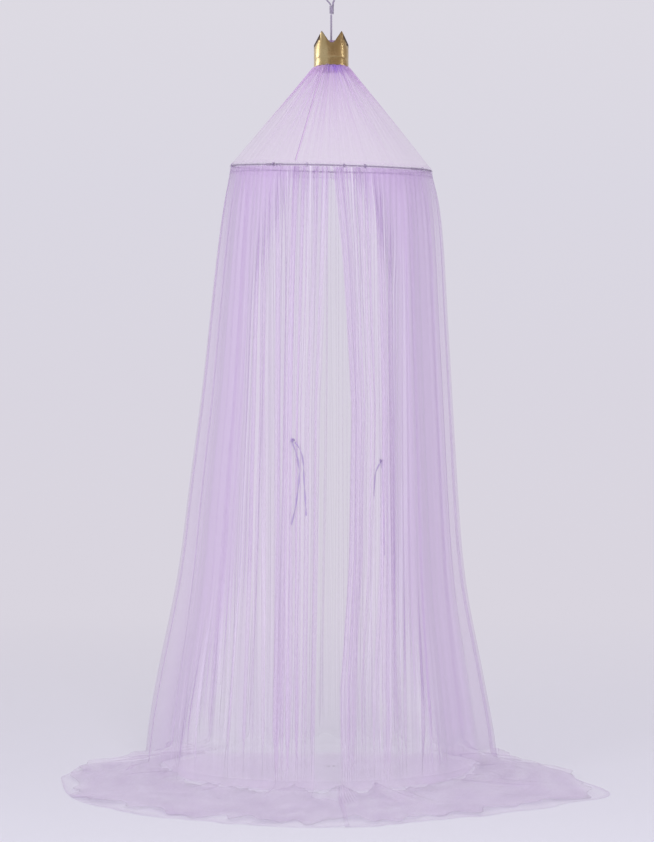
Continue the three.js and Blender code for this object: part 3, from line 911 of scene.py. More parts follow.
@dataclass(frozen=True)
class Pleats:
    """Fine gathers that leave the heading and run into softer folds as the cloth drops."""

    gathers: int = 98
    gather_top: float = 0.0024
    gather_full: float = 0.0058
    gather_foot: float = 0.0046
    ridges: int = 37
    ridge_top: float = 0.0005
    ridge_full: float = 0.0055
    ridge_foot: float = 0.0095
    wander: Ripples = Ripples(11, 2, 9)
    drift: Ripples = Ripples(14, 1, 6)
    shuffle: Ripples = Ripples(15, 9, 31, 7)
    uneven: Ripples = Ripples(13, 17, 61, 3)
    lap: Ripples = Ripples(12, 9, 47, 2)
    ridge_wander: Ripples = Ripples(21, 2, 8)
    ridge_drift: Ripples = Ripples(22, 1, 5, 2)
    ridge_lap: Ripples = Ripples(23, 7, 23, 2)
    ridge_uneven: Ripples = Ripples(24, 9, 29, 2)

    def offsets(self, cloth: Array, drop: float) -> tuple[Array, Array, Array]:
        """Where the pleats move the cloth.

        Args:
            cloth: Angles at which the cloth left the heading.
            drop: Share of the drop, past 1 on the floor.

        Returns:
            The way out, the turn aside in radians, and how crushed the cloth is there, 0 to 1.
        """
        held = min(drop, 1.0)
        wander = 1.7 * self.wander.at(cloth) + 0.9 * held * self.drift.at(cloth)
        turn = self.gathers * cloth + wander + 0.5 * self.shuffle.at(cloth, held)
        size = np.interp(held, [0, 0.07, 0.4, 1], [self.gather_top, self.gather_full,
                                                   0.9 * self.gather_full, self.gather_foot])
        uneven = np.clip(1 + 0.42 * self.uneven.at(cloth, held), 0.15, 2)
        lap = np.clip(1.45 + 0.7 * self.lap.at(cloth, held), 0.3, 2.3)
        ridge = self.ridges * cloth + 2.2 * self.ridge_wander.at(cloth)
        ridge = ridge + 1.2 * held * self.ridge_drift.at(cloth, held)
        ridge_size = np.interp(held, [0, 0.03, 0.25, 1], [self.ridge_top, 0.3 * self.ridge_full,
                                                          self.ridge_full, self.ridge_foot])
        ridge_lap = np.clip(0.25 + 0.25 * self.ridge_lap.at(cloth, held), 0, 0.8)
        ridge_uneven = np.clip(1 + 0.4 * self.ridge_uneven.at(cloth, held), 0.2, 2)
        out = size * uneven * np.cos(turn) + ridge_size * ridge_uneven * np.cos(ridge)
        aside = lap / self.gathers * np.sin(2 * turn) + ridge_lap / self.ridges * np.sin(2 * ridge)
        crush = np.sin(2 * turn) ** 8
        return out, aside, crush


# Studio


@dataclass(frozen=True)
class Studio:
    """Camera, lamps, pale floor and backdrop."""

    floor: float = FLOOR
    distance: float = 7.0
    eye: float = 1.55
    lens: float = 99.75
    shift_x: float = -0.005
    shift_y: float = -0.202
    wall: float = 3.4
    sweep: float = 1.2
    reach: float = 9.0
    card_from: float = -22.0
    card_to: float = 128.0
    card: Colour = (0.56, 0.45, 0.35, 1)
    room: Colour = (0.985, 0.972, 1.0, 1)
    room_light: float = 0.605
    # Colours of the paper's painted glow from the floor up, paler higher up; the first is also the
    # world that the camera sees.
    stops: Sequence[tuple[float, Colour]] = (
        (0.0, (0.695, 0.665, 0.738, 1)), (0.22, (0.695, 0.668, 0.745, 1)),
        (0.5, (0.702, 0.682, 0.760, 1)), (1.0, (0.745, 0.722, 0.770, 1)),
    )
    # Painted shade and light: the floor is darker at the left and paler at the right, against the key
    # lamp's stronger light on the left.
    floor_left: Colour = (0.765, 0.757, 0.835, 1)
    floor_right: Colour = (0.858, 0.85, 0.935, 1)
    glow_share: float = 0.98

    def camera(self) -> None:
        """Set the camera level at its height, with the canopy's foot in view by shift alone."""
        data = bpy.data.cameras.new("camera")
        data.lens, data.sensor_width = self.lens, 36
        data.shift_x, data.shift_y = self.shift_x, self.shift_y
        data.clip_end = 60
        camera = bpy.data.objects.new("camera", data)
        camera.location = (0, -self.distance, self.floor + self.eye)
        camera.rotation_euler = (math.radians(90), 0, 0)
        bpy.context.scene.collection.objects.link(camera)
        bpy.context.scene.camera = camera

    def lamp(self, name: str, place: Triple, size: tuple[float, float],
             watts: float, mirrored: bool = True, spread: bool = True) -> None:
        """Add a soft lamp that faces the middle of the canopy.

        Args:
            name: The lamp's name.
            place: Where it stands.
            size: Its width and height.
            watts: Its power.
            mirrored: Whether the gold shows it.
            spread: Whether it lights the cloth and the floor.
        """
        data = bpy.data.lights.new(name, "AREA")
        data.shape = "RECTANGLE"
        data.size, data.size_y = size
        data.energy = watts
        lamp = bpy.data.objects.new(name, data)
        lamp.location = place
        lamp.visible_glossy = mirrored
        lamp.visible_diffuse = spread
        aim = Vector((0, 0, self.floor / 2)) - Vector(place)
        lamp.rotation_mode = "QUATERNION"
        lamp.rotation_quaternion = aim.to_track_quat("-Z", "Y")
        bpy.context.scene.collection.objects.link(lamp)

    def lamps(self) -> None:
        """Light the canopy softly from both sides of the camera, and evenly from all round."""
        self.lamp("key_lamp", (-4.2, -4.2, 0.6), (2.2, 2.6), 90, mirrored=False)
        self.lamp("side_lamp", (-4.6, 1.1, 0.3), (2.0, 3.0), 48, spread=False)
        self.lamp("strip_lamp", (4.8, -0.9, 0.1), (0.35, 3.0), 16, spread=False)
        self.lamp("front_lamp", (1.4, -7.4, 2.6), (2.4, 1.8), 245, mirrored=False)
        world = bpy.data.worlds.new("soft room")
        world.use_nodes = True
        bpy.context.scene.world = world
        graph = Graph(world.node_tree)
        shade = graph.first("BACKGROUND")
        graph.put(shade, Color=self.room, Strength=self.room_light)
        beyond = graph.add("ShaderNodeBackground", Color=self.stops[0][1])
        seen = graph.add("ShaderNodeLightPath").outputs["Is Camera Ray"]
        graph.put(graph.first("OUTPUT_WORLD"), Surface=graph.mixed(seen, shade, beyond))

    def backdrop(self) -> None:
        """Make the floor and the wall as one swept sheet, and a card that only the gold mirrors."""
        arc = np.linspace(0, math.pi / 2, 14)
        bend = [(self.wall + self.sweep * math.sin(a), self.sweep * (1 - math.cos(a))) for a in arc]
        flat = [(y, 0.0) for y in (-11.0, -4.0, 0.0)]
        line = np.array([*flat, *bend, (self.wall + self.sweep, self.reach)])
        span = np.linspace(self.reach, -self.reach, 7)
        points = np.array([[(x, y, self.floor + z) for x in span] for y, z in line])
        sheet = grid_piece("backdrop", points, points[..., :2])
        sheet.data.materials.append(self.paper())
        turn = np.radians(np.linspace(self.card_from, self.card_to, 9))
        rows = np.array([polar(turn, self.distance + 2.0, height) for height in (-3.2, self.reach)])
        flag = grid_piece("dark_card", rows, rows[..., :2])
        for ray in ("camera", "diffuse", "shadow", "transmission"):
            setattr(flag, f"visible_{ray}", False)
        made, _, _ = principled("Dark card", Roughness=0.9, Base_Color=self.card)
        flag.data.materials.append(made)

    def paper(self) -> Material:
        """Pale paper: lit near the canopy, more and more a painted glow away from it, clear from
        behind.

        Returns:
            The material.
        """
        made, graph, shader = principled("Pale paper", Roughness=0.9, Specular_IOR_Level=0.1)
        place = graph.add("ShaderNodeTexCoord").outputs["Object"]
        x, y, z = graph.add("ShaderNodeSeparateXYZ", Vector=place).outputs
        ramp = graph.add("ShaderNodeValToRGB", Fac=graph.between(z, self.floor, 1.4, 0, 1))
        for k, (spot, colour) in enumerate(self.stops):
            mark = ramp.color_ramp.elements[k] if k < 2 else ramp.color_ramp.elements.new(spot)
            mark.position, mark.color = spot, colour
        # Painted shade at the left of the floor and painted light at its right, against the key lamp.
        across = graph.between(x, -2.2, 2.2, 0, 1)
        graph.put(shader, Base_Color=graph.blend(across, self.floor_left, self.floor_right))
        glow = graph.add("ShaderNodeEmission", Color=ramp.outputs[0])
        path = graph.add("ShaderNodeLightPath")
        seen = graph.math("MAXIMUM", path.outputs["Is Camera Ray"], path.outputs["Is Glossy Ray"])
        seen = graph.math("MAXIMUM", seen, path.outputs["Is Transmission Ray"])
        # Painted glow: away from the canopy the paper shows the glow instead of its lit colour, and
        # under the canopy about a third of it, which lifts part of the canopy's cast shadow.
        far = graph.math("MULTIPLY", seen, graph.between(y, -1.4, 2.9, 0, self.glow_share))
        away = graph.math("MAXIMUM", graph.math("ABSOLUTE", x), graph.math("MULTIPLY", y, -1.0))
        away = graph.between(away, 1.8, 5.0, 0, self.glow_share)
        round_it = graph.math("MULTIPLY", path.outputs["Is Camera Ray"], away)
        front = graph.mixed(graph.math("MAXIMUM", far, round_it), shader, glow)
        behind = graph.add("ShaderNodeNewGeometry").outputs["Backfacing"]
        behind = graph.math("MULTIPLY", behind, path.outputs["Is Camera Ray"])
        clear = graph.add("ShaderNodeBsdfTransparent")
        graph.put(graph.first("OUTPUT_MATERIAL"), Surface=graph.mixed(behind, front.node, clear))
        return made


# Cords


@dataclass(frozen=True)
class HangingEye:
    """The cord folded into a loop over the hook, its wrapped knot and its free end."""

    radius: float = 0.0025
    knot_top: float = -0.0623
    knot_height: float = 0.028
    knot_middle: float = 0.00125
    knot_reach: float = 0.0043
    wraps: int = 5
    lay: float = 0.016
    core_inset: float = 0.001
    crossing_reach: float = 0.0030
    crossing_front: float = -0.0044
    loop_route: Route = (
        (-0.002, 0, -0.063), (-0.004, 0, -0.058), (-0.009, 0, -0.052), (-0.014, 0, -0.046),
        (-0.018, 0, -0.038), (-0.020, 0, -0.029), (-0.0195, 0, -0.020), (-0.017, 0, -0.011),
        (-0.0125, 0, -0.004), (-0.0065, 0, 0.0008), (0, 0, 0.0025), (0.0065, 0, 0.001),
        (0.012, 0, -0.004), (0.0155, 0, -0.011), (0.0165, 0, -0.020), (0.015, 0, -0.030),
        (0.0115, 0, -0.041), (0.008, 0, -0.051), (0.0062, 0, -0.057), (0.0058, 0, -0.063),
    )
    tail_route: Route = (
        (0.0045, -0.0051, -0.0645), (0.0046, -0.0063, -0.060), (0.0065, -0.0068, -0.053),
        (0.0098, -0.0068, -0.046), (0.0124, -0.0062, -0.040), (0.0136, -0.006, -0.034),
    )

    def build(self, finishes: Finishes) -> None:
        """Make the loop, the free end and the knot."""
        for name, route, node, end in (
            ("loop_strand", self.loop_route, "hanging_loop", "object"),
            ("loop_end", self.tail_route, "loop_tail", "bare"),
        ):
            path = curved(route, 0.0008)
            strand = tube_piece(name, path, self.radius, lay=self.lay)
            dress(strand, finishes.cord, "cord", "hanging_eye", node)
        dress(self.knot(), finishes.cord, "cord", "hanging_eye", "loop_knot")

    def knot(self) -> Piece:
        """The cord wound round its own strands, with one strand that crosses the turns.

        Returns:
            The knot.
        """
        centre, top = self.knot_middle, self.knot_top - self.radius
        low = self.knot_top - self.knot_height + self.radius
        t = np.linspace(0, 1, 240)
        spin = FULL_TURN * self.wraps * t
        reach = self.knot_reach + 0.0004 * np.sin(3 * spin)
        coil = np.stack([centre + reach * np.cos(spin), reach * np.sin(spin),
                         top + (low - top) * t], -1)
        core = np.stack([centre + 0 * t, 0 * t,
                         top + self.core_inset + (low - top - 2 * self.core_inset) * t], -1)
        crossing = np.stack([centre + self.crossing_reach * np.cos(2.2 * t - 2.4),
                             self.crossing_front + 0.0006 * np.sin(9 * t),
                             top - 0.002 + (low - top + 0.006) * t], -1)
        return joined("loop_wraps", [
            tube_piece(name, path, thick * self.radius, lay=self.lay)
            for name, path, thick in (("coil", coil, 1), ("core", core, 1), ("crossing", crossing, 0.9))
        ])


@dataclass(frozen=True)
class HangingCord:
    """The single cord down to the neck and the overhand knot that stops it under the net."""

    radius: float = 0.003
    top: float = -0.0906
    bottom: float = -0.2263
    knot_width: float = 0.015
    knot_height: float = 0.016
    knot_cord: float = 0.0027

    def build(self, finishes: Finishes) -> None:
        """Make the cord and its stop knot.

        Args:
            finishes: The materials by name.
        """
        knot = dress(self.knot(), finishes.cord, "cord", "canopy", "stop_knot")
        path = curved([(0, 0, self.top + (self.bottom - self.top) * k / 15) for k in range(16)], 0.001)
        cord = tube_piece("cord_strand", path, self.radius, lay=0.022)
        dress(cord, finishes.cord, "cord", "canopy", "hanging_cord")
        LOG.info("cord_strand, %.0f mm", 1000 * (self.top - self.bottom))

    def knot(self) -> Piece:
        """A tight overhand knot.

        Returns:
            The knot.
        """
        wide = (self.knot_width / 2 - self.knot_cord) / 3
        tall = self.knot_height / 2 - self.knot_cord
        middle = self.bottom - SEAT_GAP - self.knot_height / 2
        x, y, z = overhand(260)
        path = np.stack([wide * x, wide * y, middle + tall * z], -1)
        return tube_piece("stop_overhand", path, self.knot_cord, lay=0.016, closed=True)


@dataclass(frozen=True)
class Ties:
    """A knotted tape on each front curtain, with two tails that hang from it."""

    form: SkirtForm
    radius: float = 0.0025
    knot_width: float = 0.014
    knot_depth: float = 0.010
    knot_height: float = 0.017
    knot_tape: float = 0.0021
    drops: tuple[float, float] = (1.340, 1.402)
    cloth_wall: float = 0.002
    left_long: Profile = (
        (0.0004, -0.0091), (0.004, -0.020), (0.009, -0.034), (0.015, -0.050), (0.018, -0.066),
        (0.020, -0.082), (0.0205, -0.098), (0.020, -0.114), (0.019, -0.130), (0.0175, -0.146),
        (0.0155, -0.162), (0.013, -0.178), (0.010, -0.194), (0.007, -0.209), (0.0035, -0.224),
        (0, -0.239),
    )
    left_short: Profile = (
        (0.0061, -0.0055), (0.014, -0.014), (0.022, -0.026), (0.028, -0.042), (0.031, -0.058),
        (0.033, -0.074), (0.034, -0.090), (0.035, -0.106), (0.036, -0.122), (0.0375, -0.138),
        (0.039, -0.154), (0.0405, -0.170), (0.042, -0.186), (0.043, -0.200), (0.0435, -0.212),
    )
    right_long: Profile = (
        (0.002, -0.0088), (0.005, -0.022), (0.008, -0.038), (0.009, -0.056), (0.0095, -0.074),
        (0.010, -0.092), (0.0105, -0.110), (0.011, -0.128), (0.0115, -0.146), (0.012, -0.164),
        (0.0125, -0.182), (0.013, -0.200), (0.0135, -0.218), (0.014, -0.236), (0.0145, -0.254),
        (0.015, -0.270),
    )
    right_short: Profile = (
        (-0.0052, -0.0073), (-0.009, -0.016), (-0.012, -0.026), (-0.014, -0.037), (-0.0155, -0.048),
        (-0.0165, -0.059), (-0.017, -0.070), (-0.0175, -0.081), (-0.018, -0.091), (-0.018, -0.100),
    )

    def seat(self, angle: float, height: float) -> float:
        """Radius of the cloth's face on a crest at a height.

        Args:
            angle: The crest's angle.
            height: The height.

        Returns:
            The radius.
        """
        top = float(self.form.hoop.height(np.array(angle)))
        share = (top - height) / (top - self.form.foot)
        crest = self.form.fold_depth * share**self.form.fold_growth
        return float(self.form.radius(np.array(angle), share)) + crest

    def build(self, finishes: Finishes) -> None:
        """Make both ties."""
        for side in Side:
            left = side is Side.LEFT
            angle = math.radians(self.form.tie_left if left else self.form.tie_right)
            drop = self.drops[0] if left else self.drops[1]
            half = self.knot_depth / 2
            if left:
                radius = self.seat(angle, -drop) + SEAT_GAP + half
            else:
                face = self.seat(angle, -drop + self.knot_height / 2)
                radius = face - self.cloth_wall - 3 * SEAT_GAP - half
            aside = np.array([math.cos(angle), math.sin(angle), 0])
            outward = np.array([math.sin(angle), -math.cos(angle), 0])
            middle = outward * radius + np.array([0, 0, -drop])
            body = f"front_{side.word}"
            knot = self.knot(f"tie_{side.word}", middle, aside, outward)
            dress(knot, finishes.tape, "tape", body, f"tie_knot_{side.word}")
            for length in ("long", "short"):
                points = []
                for k, (x, z) in enumerate(getattr(self, f"{side.word}_{length}")):
                    rest = self.seat(angle, -drop + z)
                    lie = rest + SEAT_GAP + self.radius if left else radius - self.knot_depth
                    reach = radius + (lie - radius) * min(1, k / 3)
                    points.append(outward * reach + aside * x + np.array([0, 0, -drop + z]))
                path = curved([tuple(p) for p in points], 0.0015)
                name = f"tie_{length}_{side.word}"
                tail = tube_piece(name, path, self.radius, strands=2, lay=0.11, groove=0.1,
                                  flatness=0.42, sides=14)
                dress(tail, finishes.tape, "tape", body, f"tie_tail_{length}_{side.word}")

    def knot(self, name: str, middle: Array, aside: Array, outward: Array) -> Piece:
        """A flat overhand knot of tape.

        Args:
            name: The piece's name.
            middle: Its middle.
            aside: The way along the cloth.
            outward: The way out from the cloth.

        Returns:
            The knot, undressed.
        """
        wide = (self.knot_width / 2 - self.knot_tape) / 3
        tall = (self.knot_height / 2 - self.knot_tape) / 3
        deep = self.knot_depth / 2 - self.knot_tape
        x, z, y = (each[:, None] for each in overhand(200))
        path = middle + wide * x * aside + deep * y * outward + tall * z * np.array([0, 0, 1.0])
        return tube_piece(name, path, self.knot_tape, strands=2, lay=0.03, groove=0.1,
                          flatness=0.75, closed=True)


# Neck and top net


@dataclass(frozen=True)
class TopNet:
    """The cone, its bunched neck in the crown, the binding and the seam."""

    hoop: Hoop = Hoop()
    inside: float = 0.049
    shoulder: float = 0.057
    shoulder_drop: float = 0.003
    hem_rest: float = 0.0064
    flat: tuple[float, float] = (1.885, 0.47)
    area: float = 0.60
    columns: int = 1152
    creases: int = 72
    crease_depth: float = 0.0021
    crease_least: float = 0.0004
    flutes: int = 24
    flute_depth: float = 0.0017
    slack_depth: float = 0.0016
    sink: float = 0.0009
    creased_from: float = 9.0
    creased: Profile = (
        (-22, 0.10), (-8, 0.16), (9, 0.34), (17, 0.20), (24, 0.40), (33, 0.24), (46, 0.30), (58, 0.12),
    )
    seam: float = math.radians(-23.6)
    seam_end: float = math.radians(-20.2)
    seam_width: float = 0.004
    seam_lift: float = 0.0019
    seam_sway: float = 0.0004
    seam_profile: Profile = (
        (-0.5, 0), (-0.3, 0.0005), (0, 0.0008), (0.3, 0.0005), (0.5, 0),
    )
    stitch_thick: float = 0.00045
    seam_from: int = 15
    waist: float = 0.0120
    binding_turns: int = 4
    binding_thick: float = 0.0011
    binding_height: float = -0.1988
    binding_rise: float = 0.0048
    pull: Ripples = Ripples(41, 3, 19)
    tug: Ripples = Ripples(42, 20, 50)
    wander: Ripples = Ripples(43, 2, 11)
    flute_wander: Ripples = Ripples(44, 3, 9)
    slack: Ripples = Ripples(45, 3, 8, 2)
    density: Ripples = Ripples(46, 14, 70)
    under_radius: float = 0.0128
    crease_layers: float = 1.25
    neck: Profile = (
        (0.0165, -0.168), (0.0148, -0.171), (0.0125, -0.178), (0.0108, -0.186), (0.0104, -0.192),
        (0.0104, -0.200), (0.0112, -0.207), (0.0126, -0.213), (0.0136, -0.218), (0.0146, -0.222),
    )

    def crown_point(self, angle: Array, radius: float, height: float) -> Array:
        """Points on a level circle of the crown's leaning frame.

        Args:
            angle: Angles round the circle.
            radius: The circle's radius.
            height: Its height in the crown's frame.

        Returns:
            The points.
        """
        flat = polar(angle, radius, height)
        cosine, sine = math.cos(CROWN_LEAN), math.sin(CROWN_LEAN)
        y = flat[..., 1] * cosine + flat[..., 2] * sine
        z = -flat[..., 1] * sine + flat[..., 2] * cosine
        return np.stack([flat[..., 0], y, z - CROWN_DROP], -1)

    def rings(self, angle: Array) -> list[Array]:
        """Rings of points from the tuft over the crown's rim to the hoop.

        Args:
            angle: Angles round the net.

        Returns:
            The rings, from the top down.
        """
        rings = [polar(angle, radius, height) for radius, height in self.neck]
        under = self.crown_point(angle, (self.under_radius + self.inside) / 2, 2 * self.shoulder_drop)
        rings += [(rings[-1] + under) / 2, under]
        rings += [self.crown_point(angle, radius, height) for radius, height in (
            (self.inside - self.shoulder_drop, self.shoulder_drop / 2), (self.inside, -SEAT_GAP),
            (self.inside + 0.004, -0.0016), (self.shoulder, -self.shoulder_drop),
        )]
        start, end = rings[-1], self.hoop.point(angle, 0.0, self.hem_rest)
        return rings + [start + (end - start) * share for share in np.linspace(0, 1, 30)[1:]]

    def build(self, finishes: Finishes) -> None:
        """Make the net, its binding and its seam.

        Args:
            finishes: The materials by name.
        """
        angle = np.linspace(0, FULL_TURN, self.columns, endpoint=False)
        rows, layers, rich = [], [], []
        for ring in self.rings(angle):
            reach = np.hypot(ring[:, 0], ring[:, 1])
            mean = float(reach.mean())
            cone = np.clip((mean - self.shoulder) / (self.hoop.radius - self.shoulder), 0, 1)
            necked = eased((0.030 - mean) / 0.014)
            pull = 1 + 0.5 * self.pull.at(angle) + 0.25 * self.tug.at(angle)
            pull = np.clip(pull, 0.1, 2.4)
            size = self.crease_depth * (1 - necked) * (1 - cone) ** 1.7 * pull + self.crease_least
            size = size * np.clip((mean - 0.012) / 0.02, 0, 1)
            wave = np.cos(self.creases * angle + 1.6 * self.wander.at(angle))
            around = self.flutes * angle + 0.5 * self.flute_wander.at(angle)
            flute = self.flute_depth * necked * np.cos(around)
            lifted = ring.copy()
            lifted[:, 2] += size * wave - self.sink
            unit = ring[:, :2] / reach[:, None]
            lifted[:, :2] += unit * flute[:, None]
            sag = self.slack_depth * cone * (1 - cone) * 4
            lifted[:, 2] += sag * self.slack.at(angle, float(cone))
            rows.append(lifted)
            crush = 0.9 + 0.3 * (0.5 - 0.5 * wave) ** 2 * pull * (1 - cone) ** 0.8
            crush = crush + 0.14 * self.density.at(angle) * (1 - 0.7 * cone)
            gather = np.clip(self.hoop.radius / np.maximum(mean, 0.02), 1, 15) ** 0.88
            gather = gather * (1 - 0.35 * np.sin(angle) ** 2 * (1 - cone))
            crease, dyed = self.crushed(angle, mean)
            rich.append(dyed)
            hem = 1.2 * eased((cone - 0.975) / 0.025)
            layers.append(gather * (crush + crease) * self.crease_layers + hem)
        points = np.array(rows)
        run = np.cumsum(np.insert(steps_along(points), 0, 0, axis=0), axis=0)
        run = np.concatenate([run, run[:, :1]], axis=1)
        across = np.linspace(0, FULL_TURN * self.hoop.radius, self.columns + 1)
        spread = np.stack([np.broadcast_to(across, run.shape), run], -1)
        marks = {"layers": np.array(layers), "rich": np.array(rich)}
        net = grid_piece("top_net_cloth", points, spread, marks, ring=True)
        dress(net, finishes.top, "tulle", "canopy", "top_net", "net_neck")
        seam = self.seam_tape(finishes)
        self.binding(finishes)

    def crushed(self, angle: Array, mean: float) -> tuple[Array, Array]:
        """Creases that spread from one place on the crown's rim, and the deep colour round it.

        Args:
            angle: Angles of the net's columns.
            mean: Radius of the ring.

        Returns:
            The extra layers and the share of the deep colour.
        """
        past = (mean - self.shoulder) / (self.hoop.radius - self.shoulder)
        if mean < self.inside or past > 0.45:
            return np.zeros(len(angle)), np.zeros(len(angle))
        past = max(past, 0.0)
        turned = np.degrees(signed_turn(angle))
        crease = np.zeros(len(angle))
        for last, reach in self.creased:
            share = min(1.0, past / reach)
            middle = self.creased_from + (last - self.creased_from) * share**0.6
            crease += (1 - share) * hill(turned, middle, 0.5 + 0.8 * share)
        patch = hill(turned, 14, 24) * math.exp(-((past / 0.055) ** 2))
        glow = 0.5 * hill(turned, 8, 34) * math.exp(-past / 0.12)
        return 0.9 * crease + 0.6 * patch, np.clip(0.8 * patch + 0.55 * crease + 0.4 * glow, 0, 1)

    def binding(self, finishes: Finishes) -> None:
        """Wind the thread round the neck's waist.

        Args:
            finishes: The materials by name.
        """
        t = np.linspace(0, 1, 420)
        spin = FULL_TURN * self.binding_turns * t
        height = self.binding_height + self.binding_rise * (1 - 2 * t) + 0.0028
        path = polar(spin, self.waist + 0.0002 * np.sin(5 * spin), height)
        thread = tube_piece("binding_thread", path, self.binding_thick, strands=2, lay=0.008)
        dress(thread, finishes.thread, "thread", "canopy", "neck_binding")

    def seam_tape(self, finishes: Finishes) -> Piece:
        """The felled seam down the front left of the cone, with its line of stitches.

        Args:
            finishes: The materials by name.

        Returns:
            The seam.
        """
        first = self.rings(np.array([self.seam]))[self.seam_from][0]
        way = self.hoop.point(np.array(self.seam_end), 0.0, self.hem_rest) - first
        slope = way / np.linalg.norm(way)
        across = np.cross(slope, [0, 0, 1.0])
        across = across / np.linalg.norm(across)
        out = np.cross(across, slope)
        spots = np.linspace(0.03, 0.985, 60)
        middle = first + way * spots[:, None] + out * self.seam_lift
        places, lift = np.array(self.seam_profile).T
        width = self.seam_width * places
        sway = self.seam_sway * np.sin(spots * 70)[:, None]
        aside = (width[None, :, None] + sway[..., None]) * across
        points = middle[:, None] + aside + lift[None, :, None] * out
        marks = {"layers": np.full(points.shape[:2], 12.0)}
        tape = grid_piece("seam_tape", points, woven(width, np.linalg.norm(way) * spots), marks)
        dress(tape, finishes.top, "tulle", "canopy", "top_net_seam")
        path = middle + out * 0.0010 + across * 0.0006
        stitch = tube_piece("seam_thread", path, self.stitch_thick, strands=2, lay=0.004, sides=8)
        dress(stitch, finishes.thread, "thread", "canopy")
        return tape


# Hoop and heading


@dataclass(frozen=True)
class Heading:
    """The casing over the hoop: gathered net, its line of stitches and the tacks that hold it."""

    hoop: Hoop = Hoop()
    drop: float = 0.0215
    channel: float = 0.0047
    leg: float = 0.0021
    columns: int = 1800
    gathers: int = 190
    gather_depth: float = 0.0011
    ruffle_depth: float = 0.0007
    droop_depth: float = 0.0016
    fullness: float = 1.15
    stitch_drop: float = 0.0180
    stitch_half: float = 0.0016
    stitch_lift: float = 0.0018
    stitch_rings: Profile = (
        (-1, 0.0001), (-0.5, 0.00045), (0.5, 0.00045), (1, 0.0001),
    )
    stitches: int = 430
    tack_thick: float = 0.0006
    wander: Ripples = Ripples(51, 3, 14)
    ruffle: Ripples = Ripples(52, 20, 90, 60)
    droop: Ripples = Ripples(53, 25, 80)
    density: Ripples = Ripples(54, 30, 150)
    tacks: Sequence[float] = (-128, -77, -33.7, -13.3, 7.1, 19, 64, 101, 147, 190)

    def build(self, finishes: Finishes) -> None:
        """Make the casing, the stitches and the tacks, and dress the rods.

        Args:
            finishes: The materials by name.
        """
        angle = np.linspace(0, FULL_TURN, self.columns, endpoint=False)
        section = self.section()
        rows, layers = [], []
        for out, up in section:
            low = np.clip(-up / self.drop, 0, 1)
            wave = np.cos(self.gathers * angle + 1.8 * self.wander.at(angle))
            ruffle = self.gather_depth * low * wave
            ruffle = ruffle + self.ruffle_depth * self.ruffle.at(angle, up) * low
            droop = self.droop_depth * low**3 * self.droop.at(angle)
            bulge = out + np.sign(out) * np.abs(ruffle) + 0.3 * ruffle
            rows.append(self.hoop.point(angle, bulge, up + droop))
            pressed = 0.5 + 0.5 * (0.5 - 0.5 * wave) ** 2 + 0.2 * self.density.at(angle)
            layers.append(np.clip(pressed, 0.2, 2))
        girth = FULL_TURN * self.hoop.radius
        run = summed(steps_along(np.array(section)))
        spread = woven(np.linspace(0, girth, self.columns + 1), run)
        marks = {"layers": np.array(layers)}
        casing = grid_piece("casing_cloth", np.array(rows), spread, marks, ring=True)
        dress(casing, finishes.skirt, "tulle", "canopy", "hoop_casing")
        stitches = self.stitching(finishes)
        self.tacking(finishes)
        for node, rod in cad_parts.items():
            if node.startswith(("hoop_rod", "hoop_sleeve")):
                dress(rod, finishes.rod, "rod")

    def section(self) -> list[tuple[float, float]]:
        """The casing's line from its outer hem over the rod to its inner hem.

        Returns:
            Points of the line, by radius and height.
        """
        inner = [(-self.leg, -self.drop * share) for share in (1.0, 0.8, 0.6, 0.42)]
        arch = [(-self.channel * math.cos(a), self.channel * math.sin(a))
                for a in np.linspace(-0.35, math.pi + 0.35, 13)]
        outer = [(self.leg, -self.drop * share) for share in (0.42, 0.6, 0.8, 1.0)]
        return [*inner, *arch, *outer][::-1]

    def stitching(self, finishes: Finishes) -> Piece:
        """A line of short stitches round the casing.

        Args:
            finishes: The materials by name.

        Returns:
            The stitches.
        """
        draw = np.random.default_rng(61)
        points, faces = [], []
        for k in range(self.stitches):
            middle = FULL_TURN * (k + draw.uniform(-0.12, 0.12)) / self.stitches
            half = self.stitch_half / self.hoop.radius
            drop = -self.stitch_drop + draw.uniform(-0.0004, 0.0004)
            out = self.leg + self.stitch_lift
            for share, thick in self.stitch_rings:
                place = np.array(middle + share * half)
                for a in range(6):
                    turn = FULL_TURN * a / 6
                    aside, up = thick * math.cos(turn), thick * math.sin(turn)
                    points.append(self.hoop.point(place, out + aside, drop + up).tolist())
            base = 24 * k
            for low in (base, base + 6, base + 12):
                for a, b in zip(range(6), (1, 2, 3, 4, 5, 0)):
                    faces.append((low + a, low + b, low + 6 + b, low + 6 + a))
            faces.append(tuple(range(base + 5, base - 1, -1)))
            faces.append(tuple(range(base + 18, base + 24)))
        mesh = bpy.data.meshes.new("casing_stitches")
        mesh.from_pydata(points, [], faces)
        mesh.uv_layers.new(name="Cloth")
        return dress(new_object("casing_stitches", mesh), finishes.thread, "thread", "canopy")

    def tacking(self, finishes: Finishes) -> None:
        """Wraps of thread that hold the casing to the rod in a few places.

        Args:
            finishes: The materials by name.
        """
        wraps = []
        for k, degrees in enumerate(self.tacks):
            t = np.linspace(0, 1, 110)
            spin = FULL_TURN * (2 + k % 3) * t
            slide = math.radians(degrees) + (t - 0.5) * (0.016 + 0.006 * (k % 2))
            reach = self.channel + 0.0005 + 0.0004 * np.sin(spin * 0.7 + k)
            path = self.hoop.point(slide, reach * np.cos(spin), reach * np.sin(spin))
            wraps.append(tube_piece(f"wrap_{k}", path, self.tack_thick, strands=2, lay=0.006, sides=8))
        dress(joined("hoop_tacks", wraps), finishes.tack, "thread", "canopy")


# Crown


